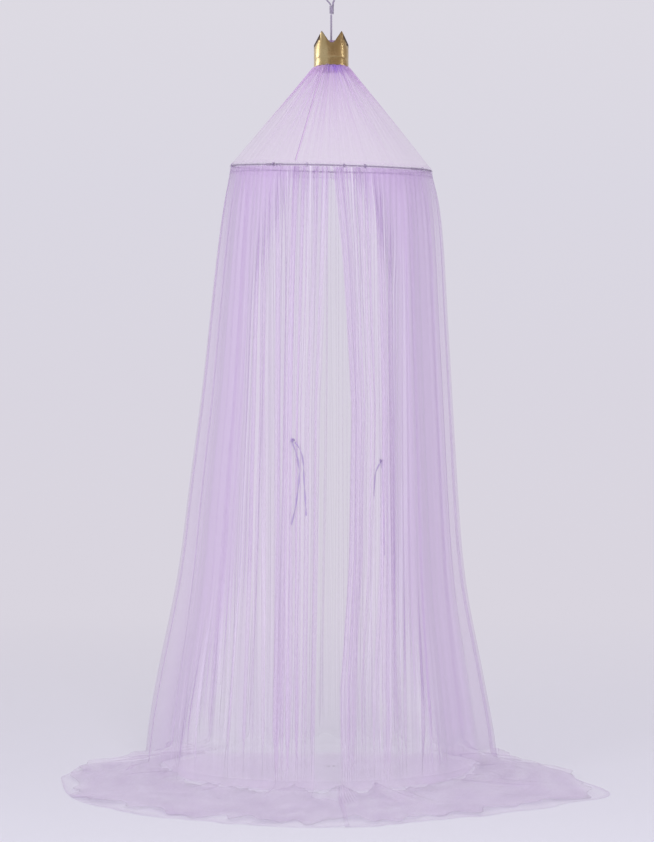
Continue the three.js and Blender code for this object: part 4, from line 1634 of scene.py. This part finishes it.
@dataclass(frozen=True)
class Crown:
    """A foil band cut into points, lapped at the back, over a brown backing."""

    radius: float = 0.052
    valley: float = 0.067
    tip: float = 0.105
    crease: float = 0.026
    crease_press: float = 0.0007
    wall: float = 0.0012
    bevel: float = 0.00025
    backing_wall: float = 0.0009
    rise: float = 0.0009
    turn: float = math.radians(2)
    lap: float = math.radians(12)
    step: float = math.radians(2)
    edge_shares: Sequence[float] = (
        0, 0.03, 0.18, 0.4, 0.61, 0.81, 1, 0.81, 0.63, 0.47, 0.34, 0.235, 0.165, 0.125, 0.11, 0.11,
    )

    @property
    def place(self) -> Matrix:
        """Where the crown sits, leaning and a little turned."""
        seat = Matrix.Translation((0, 0, -CROWN_DROP))
        return seat @ Matrix.Rotation(-CROWN_LEAN, 4, "X") @ Matrix.Rotation(self.turn, 4, "Z")

    def edge(self, angle: float) -> float:
        """Height of the cut edge at an angle of the crown's own.

        Args:
            angle: The angle.

        Returns:
            The height.
        """
        from_front = abs((angle % math.pi + 1.5 * math.pi) % math.pi - math.pi / 2)
        spots = np.linspace(0, math.pi / 2, len(self.edge_shares))
        share = np.interp(from_front, spots, self.edge_shares)
        return self.valley + (self.tip - self.valley) * float(share)

    def band(self, name: str, radius: float, rise: float, wall: float, lapped: bool) -> Piece:
        """Spin a band, cut its points and give it a wall.

        Args:
            name: The piece's name.
            radius: Outer radius.
            rise: How far its edge stands past the foil's.
            wall: Its thickness, inwards.
            lapped: Whether its end lies over its start.

        Returns:
            The band in the crown's place.
        """
        seam = math.pi - self.lap / 2
        bpy.ops.object.select_all(action="DESELECT")
        bpy.ops.mesh.primitive_plane_add(size=0.01)
        piece = bpy.context.active_object
        piece.name = piece.data.name = name
        bpy.ops.object.mode_set(mode="EDIT")
        bpy.ops.mesh.select_mode(type="VERT")
        bpy.ops.mesh.select_all(action="SELECT")
        bpy.ops.mesh.merge(type="CENTER")
        bpy.ops.transform.translate(value=(radius * math.sin(seam), -radius * math.cos(seam), 0))
        levels = (0.5 * self.crease, 0.93 * self.crease, self.crease, 1.07 * self.crease,
                  (self.crease + self.valley) / 2, self.valley)
        below = 0.0
        for level in levels:
            bpy.ops.mesh.extrude_vertices_move(TRANSFORM_OT_translate={"value": (0, 0, level - below)})
            below = level
        bpy.ops.mesh.select_all(action="SELECT")
        self.sweep(FULL_TURN - self.step)
        if lapped:
            self.sweep(self.step)
            grown = 1 + (self.wall + SEAT_GAP) / radius
            bpy.ops.transform.resize(value=(grown, grown, 1), center_override=(0, 0, 0))
            self.sweep(self.lap)
        self.cut_points(piece, rise)
        bpy.ops.object.mode_set(mode="OBJECT")
        piece.data.transform(self.place)
        self.thicken(piece, wall)
        return piece

    def sweep(self, angle: float) -> None:
        """Spin the selected line round the crown's axis."""
        bpy.ops.mesh.spin(steps=round(angle / self.step), angle=angle, center=(0, 0, 0), axis=(0, 0, 1))

    def cut_points(self, piece: Piece, rise: float) -> None:
        """Raise the top edge into points and press the crease in.

        Args:
            piece: The band.
            rise: How far its edge stands past the foil's.
        """
        form = bmesh.from_edit_mesh(piece.data)
        for vert in form.verts:
            top = self.edge(math.atan2(vert.co.x, -vert.co.y) % FULL_TURN)
            if abs(vert.co.z - self.crease) < 1e-5:
                vert.co.xy *= 1 - self.crease_press / self.radius
            elif vert.co.z > self.valley - 1e-5:
                vert.co.z = top + rise
            elif vert.co.z > self.crease * 1.2:
                vert.co.z += 0.35 * (top - self.valley)
        bmesh.update_edit_mesh(piece.data)

    def thicken(self, piece: Piece, wall: float) -> None:
        """Give the band its wall and bevel its sharp edges.

        Args:
            piece: The band.
            wall: Its thickness.
        """
        select(piece)
        bpy.ops.object.mode_set(mode="EDIT")
        bpy.ops.mesh.select_all(action="SELECT")
        bpy.ops.mesh.normals_make_consistent(inside=False)
        bpy.ops.object.mode_set(mode="OBJECT")
        if sum(face.center.xy.dot(face.normal.xy) for face in piece.data.polygons) < 0:
            piece.data.flip_normals()
        solid = piece.modifiers.new("wall", "SOLIDIFY")
        solid.thickness, solid.offset = wall, -1
        solid.use_even_offset = True
        bevel = piece.modifiers.new("edge", "BEVEL")
        bevel.width, bevel.segments = self.bevel, 2
        bevel.limit_method, bevel.angle_limit = "ANGLE", math.radians(50)
        for modifier in list(piece.modifiers):
            bpy.ops.object.modifier_apply(modifier=modifier.name)
        bpy.ops.object.shade_smooth_by_angle(angle=math.radians(35))

    def build(self, finishes: Finishes) -> None:
        """Make the band and its backing.

        Args:
            finishes: The materials by name.
        """
        foil = self.band("crown_foil", self.radius, 0.0, self.wall, True)
        self.mark_edge(foil)
        dress(foil, finishes.foil, "gold", "crown", "crown_band")
        inside = self.radius - self.wall - SEAT_GAP
        backing = self.band("crown_backing", inside, self.rise, self.backing_wall, False)
        dress(backing, finishes.backing, "backing", "crown", "crown_lining")

    def mark_edge(self, foil: Piece) -> None:
        """Mark each point of the foil: 1 on its cut edge and 0 elsewhere.

        Args:
            foil: The gold band.
        """
        back = self.place.inverted()
        values = []
        for vert in foil.data.vertices:
            own = back @ vert.co
            top = self.edge(math.atan2(own.x, -own.y) % FULL_TURN)
            outer = math.hypot(own.x, own.y) > self.radius - self.wall / 2
            near = 0.0004 if abs(own.x) > 0.45 * self.radius else 0.0002
            values.append(1.0 if own.z > top - near or not outer and own.z > top - 0.001 else 0.0)
        layer = foil.data.attributes.new("cut_edge", "FLOAT", "POINT")
        layer.data.foreach_set("value", values)


# Skirt


@dataclass(frozen=True)
class Width:
    """One width of the skirt's cloth, between two angles at the heading.

    A curtain has a side, and its free edge follows the opening.
    """

    name: str
    start: float
    end: float
    side: Optional[Side]
    nodes: Sequence[str]
    columns_per_degree: float = 6.6
    fewest: int = 40

    @property
    def share(self) -> Array:
        """Places of its columns, from 0 to 1."""
        count = round(math.degrees(self.end - self.start) * self.columns_per_degree)
        return np.linspace(0, 1, max(self.fewest, count) + 1)

    @property
    def cloth(self) -> Array:
        """Angles at which its columns leave the heading."""
        return self.start + (self.end - self.start) * self.share

    @property
    def free(self) -> Optional[Array]:
        """Nearness of a curtain's columns to its free edge, from 0 to 1."""
        if self.side is None:
            return None
        return self.share if self.side is Side.LEFT else 1 - self.share


@dataclass(frozen=True)
class Skirt:
    """The pleated skirt: three widths behind and a curtain each side of the opening."""

    form: SkirtForm
    pleats: Pleats = Pleats()
    side_seam: float = math.radians(62)
    heading: float = 0.0035
    cloth_gap: float = 0.0006
    first_drop: float = 0.0004
    hang_rows: int = 44
    measured_row: int = 14
    still_past: float = 0.02
    moved_within: float = 0.115
    turn_under: float = 0.86
    turn_back: float = -0.14
    ring: float = 0.012
    closing: float = 0.35
    pool_layers: float = 0.84
    overlap: float = math.radians(0.5)
    lap_rise: float = 0.0035
    lap_half: float = 0.08
    stray: float = 0.009
    calm_out: float = 0.85
    calm_aside: float = 0.95
    flat_layers: float = 0.93
    crushed_layers: float = 0.55
    edge_layers: float = 0.3
    hem_layers: float = 0.8
    soften: float = 0.03
    straight: float = 0.185
    band_drops: Sequence[float] = (0, 0.05, 0.2, 0.65, 0.9)
    band_left: Sequence[float] = (25, 31, 44, 42, 60)
    band_right: Sequence[float] = (20, 26, 38, 35, 44)
    band_soft: float = math.radians(22)
    band: float = 3.9
    band_right_share: float = 1.25
    band_right_less: float = 0.2
    foot_most: float = 1.8
    slit_depth: float = 0.75
    rim: float = 1.5
    rim_left: tuple[float, float] = (58, 76)
    rim_right: tuple[float, float] = (50, 74)
    slits: Sequence[Route] = (
        ((-45, 0.845, 0.9), (-57, 0.967, 1.5)),
        ((-38.7, 0.896, 0.5), (-35.8, 0.957, 0.8)),
        ((17.3, 0.807, 0.5), (24, 0.928, 0.9)),
        ((37, 0.866, 0.5), (43.5, 0.961, 0.8)),
    )
    flatten: float = 0.65
    flatten_lead: float = math.radians(4)
    rear: float = 0.78
    rear_calm: float = 0.4
    rear_from: float = math.radians(100)
    rear_to: float = math.radians(125)
    behind_from: float = math.radians(105)
    behind_over: float = math.radians(25)
    rise_lost: float = 0.7
    thin_behind: float = 0.94
    lobe: float = 0.055
    frill_depth: float = 0.03
    patch_depth: float = 0.14
    fleck_depth: float = 0.06
    sheet_heights: Triple = (0.0012, 0.0040, 0.0066)
    crumple: Ripples = Ripples(73, 9, 34, 9)
    frill: Ripples = Ripples(75, 30, 70)
    patches: Ripples = Ripples(79, 4, 16, 22)
    flecks: Ripples = Ripples(80, 20, 60, 40)

    def build(self, finishes: Finishes) -> None:
        """Make every width of the skirt."""
        side, back = self.side_seam, BACK_SEAM
        for width in (
            Width("skirt_back_cloth", back, FULL_TURN - back, None, ["skirt_back"]),
            Width("skirt_left_cloth", -back, -side, None, ["skirt_left"]),
            Width("skirt_right_cloth", side, back, None, ["skirt_right"]),
            Width("curtain_left_cloth", -side, 0.0, Side.LEFT, ["curtain_left", "front_panel_left"]),
            Width("curtain_right_cloth", 0.0, side, Side.RIGHT, ["curtain_right", "front_panel_right"]),
        ):
            cloth, flat = self.sheet(width)
            dress(cloth, finishes.skirt, "tulle")
            if width.side is None:
                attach(cloth, "canopy")
            else:
                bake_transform(cloth)
            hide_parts(*width.nodes)
            LOG.info("%s, %.2f m by %.2f m flat", width.name, *flat)

    def drops(self) -> Array:
        """Shares of the drop for the hanging rows, close together at the heading and the foot."""
        t = np.linspace(0, 1, self.hang_rows)
        return self.first_drop + (1 - self.first_drop) * (0.35 * t + 0.65 * t**2.1)

    def pool_line(self) -> list[tuple[float, int]]:
        """The way over the floor: shares of the way out, and how many sheets lie below.

        Returns:
            The shares, each with its number of sheets.
        """
        over = [(share, 2) for share in np.linspace(0, self.turn_under, 20)]
        back = [(share, 1) for share in np.linspace(self.turn_under - 0.015, self.turn_back, 12)]
        out = [(share, 0) for share in np.linspace(self.turn_back + 0.015, 1, 18)]
        return [*over, *back, *out]

    def sheet(self, width: Width) -> tuple[Piece, tuple[float, float]]:
        """Make one width of cloth.

        Args:
            width: Where it hangs.

        Returns:
            The cloth, and its flat width and length.
        """
        form = self.form
        rows, layers, calms = [], [], []
        open_edge = 1.0 if width.free is None else np.clip((1 - width.free) * 25, 0, 1)
        for drop in self.drops():
            angle = self.angles(width, self.edge(width, drop), drop)
            out, aside, crush, factor, calm = self.lie(width, angle, drop)
            grown = eased((drop - 0.008) / 0.05)
            fold = self.fold(angle, drop) * form.fold_depth * drop**form.fold_growth * grown
            radius = form.radius(angle, drop) + self.cloth_gap + fold + out
            top = form.hoop.height(angle) - self.heading
            height = top + (form.foot - top) * (drop - self.first_drop) / (1 - self.first_drop)
            rows.append(polar(angle + aside * open_edge, radius, height))
            near_top = 1 + 0.8 * math.exp(-drop / 0.035) + 0.35 * math.exp(-drop / 0.15)
            layers.append(self.layer(crush, near_top, width.free) * factor)
            calms.append(calm)
        angle = self.angles(width, self.edge(width, 1.0), 1.0)
        out, aside, crush, factor, calm = self.lie(width, angle, 1.0)
        fold = self.fold(angle, 1.0)
        for part in (0.35, 0.7):
            turn = part * math.pi / 2
            foot = form.radius(angle, 1.0) + form.fold_depth * fold
            lift = form.pool_fold * self.rise_share(angle) * (1 + fold) / 2 + self.stray
            height = form.foot_bend + (lift - form.foot_bend) * math.sin(turn)
            radius = foot + form.foot_bend * (1 - math.cos(turn)) + out * (1 - 0.3 * part)
            rows.append(polar(angle + aside, radius, form.floor + height))
            thinned = 1 - 0.9 * part * self.behind(angle)
            layers.append(self.layer(crush, 1.0, width.free) * factor * thinned)
            calms.append(calm + (1 - calm) * part)
        self.pool(width, rows, layers)
        calms.extend([np.ones(len(width.share))] * (len(rows) - len(calms)))
        points = np.array(rows)
        across = steps_along(points[self.measured_row])
        along = steps_along(points).mean(axis=1)
        spread = woven(summed(across) + width.start * 2, summed(along))
        marks = {"layers": np.array(layers), "calm": np.array(calms)}
        return grid_piece(width.name, points, spread, marks), (float(across.sum()), float(along.sum()))

    def edge(self, width: Width, drop: float) -> float:
        """Angle of a curtain's free edge at a share of the drop."""
        return self.form.edge(width.side, drop) if width.side else 0.0

    def lie(self, width: Width, angle: Array, drop: float) -> tuple[Array, ...]:
        """How a row's pleats lie, flatter where the cloth is drawn smooth.

        Args:
            width: The width of cloth.
            angle: Angles of the row's columns.
            drop: Share of the row's drop.

        Returns:
            The way out, the turn aside, how crushed, how dense and how calm the cloth is.
        """
        out, aside, crush = self.pleats.offsets(width.cloth, drop)
        factor, calm = self.banding(angle, drop)
        out, aside = out * (1 - self.calm_out * calm), aside * (1 - self.calm_aside * calm)
        return out, aside, crush * (1 - calm), factor, calm

    def angles(self, width: Width, edge: float, drop: float) -> Array:
        """Angles of a row's columns.

        A curtain's columns run from its seam to the opening's edge. Those near the middle hang
        straight down, and the rest fan out as the skirt widens.

        Args:
            width: The width of cloth.
            edge: Angle of the free edge on this row.
            drop: Share of the row's drop.

        Returns:
            An angle for each column.
        """
        if width.side is None:
            return width.cloth
        sign = width.side.value
        seam = width.start if width.side is Side.LEFT else width.end
        table = np.linspace(seam, -0.35 * sign, 500)
        reach = sign * self.form.radius(table, drop) * np.sin(table)
        heading = sign * self.form.hoop.radius * np.sin(width.cloth)
        widest = self.form.hoop.radius * math.sin(self.side_seam)
        free = sign * float(self.form.radius(np.array(edge), drop)) * math.sin(edge)

        def hung(place: Array) -> Array:
            """Where a place across the heading hangs on this row."""
            inner = free + (self.straight - free) * place / self.straight
            beyond = place - self.straight
            outer = self.straight + (reach[0] - self.straight) * beyond / (widest - self.straight)
            return np.where(place < self.straight, inner, outer)

        spans = np.linspace(-1, 1, 7) * self.soften
        ease = np.clip(np.minimum(heading, widest - heading) / self.soften, 0, 1)
        places = sum(hung(heading + span * ease) for span in spans) / len(spans)
        return np.interp(-places, -reach, table)

    def drawn(self, angle: Array, drop: float) -> Array:
        """How far angles lie in a smooth side band, from 0 to 1.

        Args:
            angle: Angles round the canopy.
            drop: Share of the way down.

        Returns:
            The share at each angle.
        """
        turned = signed_turn(angle)
        left = math.radians(float(np.interp(drop, self.band_drops, self.band_left)))
        right = math.radians(float(np.interp(drop, self.band_drops, self.band_right)))
        start = np.where(turned < 0, left, right) - self.band_soft / 2
        return smooth((np.abs(turned) - start) / self.band_soft)

    def fold(self, angle: Array, drop: float) -> Array:
        """The main folds, shallower in the smooth bands, with their crests kept.

        Args:
            angle: Angles round the canopy.
            drop: Share of the way down.

        Returns:
            The fold at each angle.
        """
        lead = self.flatten_lead * np.sign(np.sin(angle))
        keep = 1 - self.flatten * self.drawn(angle + lead, drop) * (1 - self.rear_share(angle))
        return self.form.fold(angle) * keep + 0.3 * (1 - keep)

    def rear_share(self, angle: Array) -> Array:
        """How far angles lie in the looser back, from 0 to 1."""
        off = np.abs(signed_turn(angle))
        return smooth((off - self.rear_from) / (self.rear_to - self.rear_from))

    def banding(self, angle: Array, drop: float) -> tuple[Array, Array]:
        """How dense the cloth is drawn together at angles, and how calm its pleats lie there.

        Args:
            angle: Angles round the canopy.
            drop: Share of the drop.

        Returns:
            A factor for the layers, and a share from 0 for pleated to 1 for smooth.
        """
        turned = signed_turn(angle)
        off = np.abs(turned)
        drawn, rear = self.drawn(angle, drop), self.rear_share(angle)
        edges = np.radians([self.rim_left, self.rim_right])
        rim = np.where(turned < 0, *(smooth((off - first) / (last - first)) for first, last in edges))
        low = eased((drop - 0.6) / 0.4)
        band = self.band * np.where(turned < 0, 1.0, self.band_right_share - self.band_right_less * low)
        factor = 1 + (band - 1) * drawn
        factor = factor + (self.rim - factor) * rim
        factor = factor + (self.rear - factor) * rear
        for first, last in self.slits:
            share = (drop - first[1]) / (last[1] - first[1])
            if 0 < share < 1:
                middle, half = (first[k] + (last[k] - first[k]) * share for k in (0, 2))
                near = hill(np.degrees(turned), middle, half)
                factor = factor * (1 - self.slit_depth * math.sin(math.pi * share) ** 0.5 * near)
        at_foot = eased((drop - 0.92) / 0.08)
        factor = factor + (np.minimum(factor, self.foot_most) - factor) * at_foot
        return factor, np.maximum(drawn * (1 - rear) + self.rear_calm * rear, 0.9 * at_foot)

    def behind(self, angle: Array) -> Array:
        """How far round to the back angles lie, from 0 to 1."""
        return smooth((np.abs(signed_turn(angle)) - self.behind_from) / self.behind_over)

    def rise_share(self, angle: Array) -> Array:
        """Share of their height that the floor folds keep, lower at the back."""
        return 1 - self.rise_lost * self.behind(angle)

    def layer(self, crush: Array, scale: float, free: Optional[Array]) -> Array:
        """How many layers of net the cloth stands for: more on pressed pleats and free hems.

        Args:
            crush: How hard each pleat is pressed.
            scale: Factor on them for this part of the cloth.
            free: How near each point is to a free edge, where there is one.

        Returns:
            The layers at each point.
        """
        layers = (self.flat_layers + self.crushed_layers * crush) * scale
        if free is not None:
            layers = layers + self.edge_layers * np.clip((free - 0.985) / 0.006, 0, 1)
        return layers

    def pool(self, width: Width, rows: list[Array], layers: list[Array]) -> None:
        """Add the rows that lie on the floor.

        Args:
            width: The width of cloth.
            rows: Points of the cloth so far.
            layers: Its densities so far.
        """
        form, side = self.form, width.side
        edge = self.edge(width, 1.0)
        out, aside, _ = self.pleats.offsets(width.cloth, 1.0)
        for part, below in self.pool_line():
            at_floor = 0.0
            if side:
                meet = MEETING - side.value * self.overlap * (1.0 if below < 2 else 0.4)
                closed = 1.0 if below < 2 else eased(part / self.closing)
                at_floor = edge + (meet - edge) * closed
            angle = self.angles(width, at_floor, 1.0)
            fold = self.fold(angle, 1.0)
            ridge = (1 + fold) / 2
            foot = form.radius(angle, 1.0) + form.fold_depth * fold + form.foot_bend
            hem = form.hem(angle)
            lobes = self.lobe * Ripples(71 + below, 6, 26, 2).at(angle, part)
            lobes = lobes + self.frill_depth * self.frill.at(angle)
            turned = part + lobes * (1.0 if below else 0.25 * part) * eased(abs(part) * 2.5)
            settled_out = out * eased(1 - part / 0.3) * (0.7 if below == 2 else 0.3)
            inner = form.radius(angle, 1.0) - form.fold_depth - self.ring
            inwards = (foot - inner) * turned / -self.turn_back
            toward = np.where(turned < 0, inwards, (hem - foot) * turned)
            radius = foot + np.minimum(toward, hem - foot) + settled_out
            radius = np.minimum(radius, np.maximum(hem, foot) + 0.004)
            rise = (form.pool_fold + (form.pool_edge - form.pool_fold) * part) * self.rise_share(angle)
            crumple = 0.5 + 0.5 * np.clip(self.crumple.at(angle, part), -1, 1)
            height = self.sheet_heights[below]
            if below == 2:
                height = height + rise * ridge * (0.45 + 0.35 * crumple) + 0.004 * crumple
                settled = form.pool_fold * self.rise_share(angle) * ridge + self.stray
                height = settled + (height - settled) * eased(part / 0.12)
            elif below == 1:
                height = height + 0.45 * rise * ridge * crumple + 0.004 * crumple
            else:
                height = height + 0.25 * form.pool_edge * ridge * crumple
            if side is Side.LEFT:
                height = height + self.lap_rise * hill(angle, MEETING, self.lap_half)
            _, calm = self.banding(angle, 1.0)
            loose = eased(1 - part / 0.25) * (1 - 0.8 * calm)
            rows.append(polar(angle + aside * loose, radius, form.floor + height))
            patch = 1 + self.patch_depth * self.patches.at(angle, part)
            patch = patch + self.fleck_depth * self.flecks.at(angle, part)
            hem_band = self.hem_layers * eased((part - 0.985) / 0.012) if below == 0 else 0.0
            thin = 1 - self.thin_behind * self.behind(angle)
            layers.append((self.pool_layers * np.clip(patch, 0.4, 2) + hem_band) * thin)


@dataclass(frozen=True)
class FloorFolds:
    """The cloth that has slid inwards over the floor: folded back under itself, one piece a side."""

    form: SkirtForm
    edge: float = 0.006
    lobes: int = 7
    lobe: float = 0.22
    bend: float = 0.026
    rise: float = 0.020
    rise_edge: float = 0.006
    clear: float = 0.0053
    layers: float = 0.6
    thin_from: float = 0.14
    thin_to: float = 0.22
    gap: float = 0.0005
    columns_per_degree: float = 3.2
    cloth_radius: float = 0.35
    doubled: float = 0.62
    patch_depth: float = 0.12
    thinned: float = 0.88
    lead: float = 0.10
    lead_drop: float = 0.004
    middle: float = 0.2
    heights: tuple[float, float] = (0.0048, 0.0012)
    ripple: Ripples = Ripples(84, 20, 90, 9)
    crumple: Ripples = Ripples(85, 9, 34, 9)

    def build(self, finishes: Finishes) -> None:
        """Make the three folds."""
        for name, start, end in (
            ("left", -BACK_SEAM, MEETING),
            ("right", MEETING, BACK_SEAM),
            ("back", BACK_SEAM, FULL_TURN - BACK_SEAM),
        ):
            count = round(math.degrees(end - start) * self.columns_per_degree)
            angle = np.linspace(start + self.gap, end - self.gap, count)
            rows, layers = [], []
            for inward, under in self.line():
                rows.append(self.row(angle, inward, under))
                patch = 1 + self.patch_depth * Ripples(81 + under, 2, 7, 6).at(angle, inward)
                behind = (rows[-1][:, 1] - self.thin_from) / (self.thin_to - self.thin_from)
                thick = 1 - self.thinned * smooth(behind)
                layers.append(np.clip(self.layers * patch, 0.3, 3) * thick)
            points = np.array(rows[::-1])
            run = summed(steps_along(points).mean(axis=1))
            marks = {"layers": np.array(layers[::-1]), "calm": np.ones(points.shape[:2])}
            spread = woven(angle * self.cloth_radius, run)
            piece = grid_piece(f"floor_cloth_{name}", points, spread, marks)
            dress(piece, finishes.floor, "tulle", "canopy", f"floor_fold_{name}")

    def line(self) -> list[tuple[float, int]]:
        """Shares of the way in, first over and then back under."""
        over = [(share, 0) for share in np.linspace(-self.lead, 1, 20)]
        return [*over, *[(share, 1) for share in np.linspace(0.985, 0.02, 16)]]

    def row(self, angle: Array, inward: float, under: int) -> Array:
        """Points of one row.

        Args:
            angle: Angles of its columns.
            inward: Share of the way in, below 0 where the cloth still hangs.
            under: 0 on the upper side, 1 on the lower.

        Returns:
            A point for each column.
        """
        form = self.form
        lip = form.radius(angle, 1.0) - form.fold_depth - self.clear
        edge = self.edge * (1 + self.lobe * np.sin(self.lobes * angle))
        start = lip - self.bend
        radius = start + (edge - start) * max(inward, 0.0)
        out = radius / self.middle
        ridge = 0.5 + ((1 + form.fold(angle)) / 2 - 0.5) * np.clip(out, 0, 1) ** 2
        if inward < 0:
            turn = (1 + inward / self.lead) * math.pi / 2
            top = form.foot_bend - self.lead_drop
            low = 0.004 + self.rise * ridge * 0.8
            lift = (top - low) * (1 - math.sin(turn))
            return polar(angle, lip - self.bend * math.sin(turn), form.floor + low + lift)
        rise = 0.3 * (self.rise + (self.rise_edge - self.rise) * inward) * ridge
        crumple = 0.75 + 0.25 * np.clip(self.crumple.at(angle, inward), -1, 1)
        floor = form.floor + self.heights[under]
        if under:
            return polar(angle, radius, floor + 0.25 * rise * crumple)
        fine = 0.0005 * np.clip(self.ripple.at(angle, inward), -1, 1) * np.clip(out, 0.2, 1)
        return polar(angle, radius, floor + 0.8 * rise * crumple + fine)


def main() -> None:
    """Build the canopy's looks in order."""
    logging.basicConfig(level=logging.INFO, format="%(message)s")
    scene = bpy.context.scene
    scene.view_settings.view_transform = "Standard"
    scene.cycles.transparent_max_bounces = 96
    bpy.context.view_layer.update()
    studio = Studio()
    studio.camera()
    finishes = Finishes()
    form = SkirtForm()
    HangingEye().build(finishes)
    HangingCord().build(finishes)
    Ties(form).build(finishes)
    studio.lamps()
    studio.backdrop()
    TopNet(form.hoop).build(finishes)
    Heading(form.hoop).build(finishes)
    Crown().build(finishes)
    Skirt(form).build(finishes)
    FloorFolds(form).build(finishes)


if __name__ == "__main__":
    main()
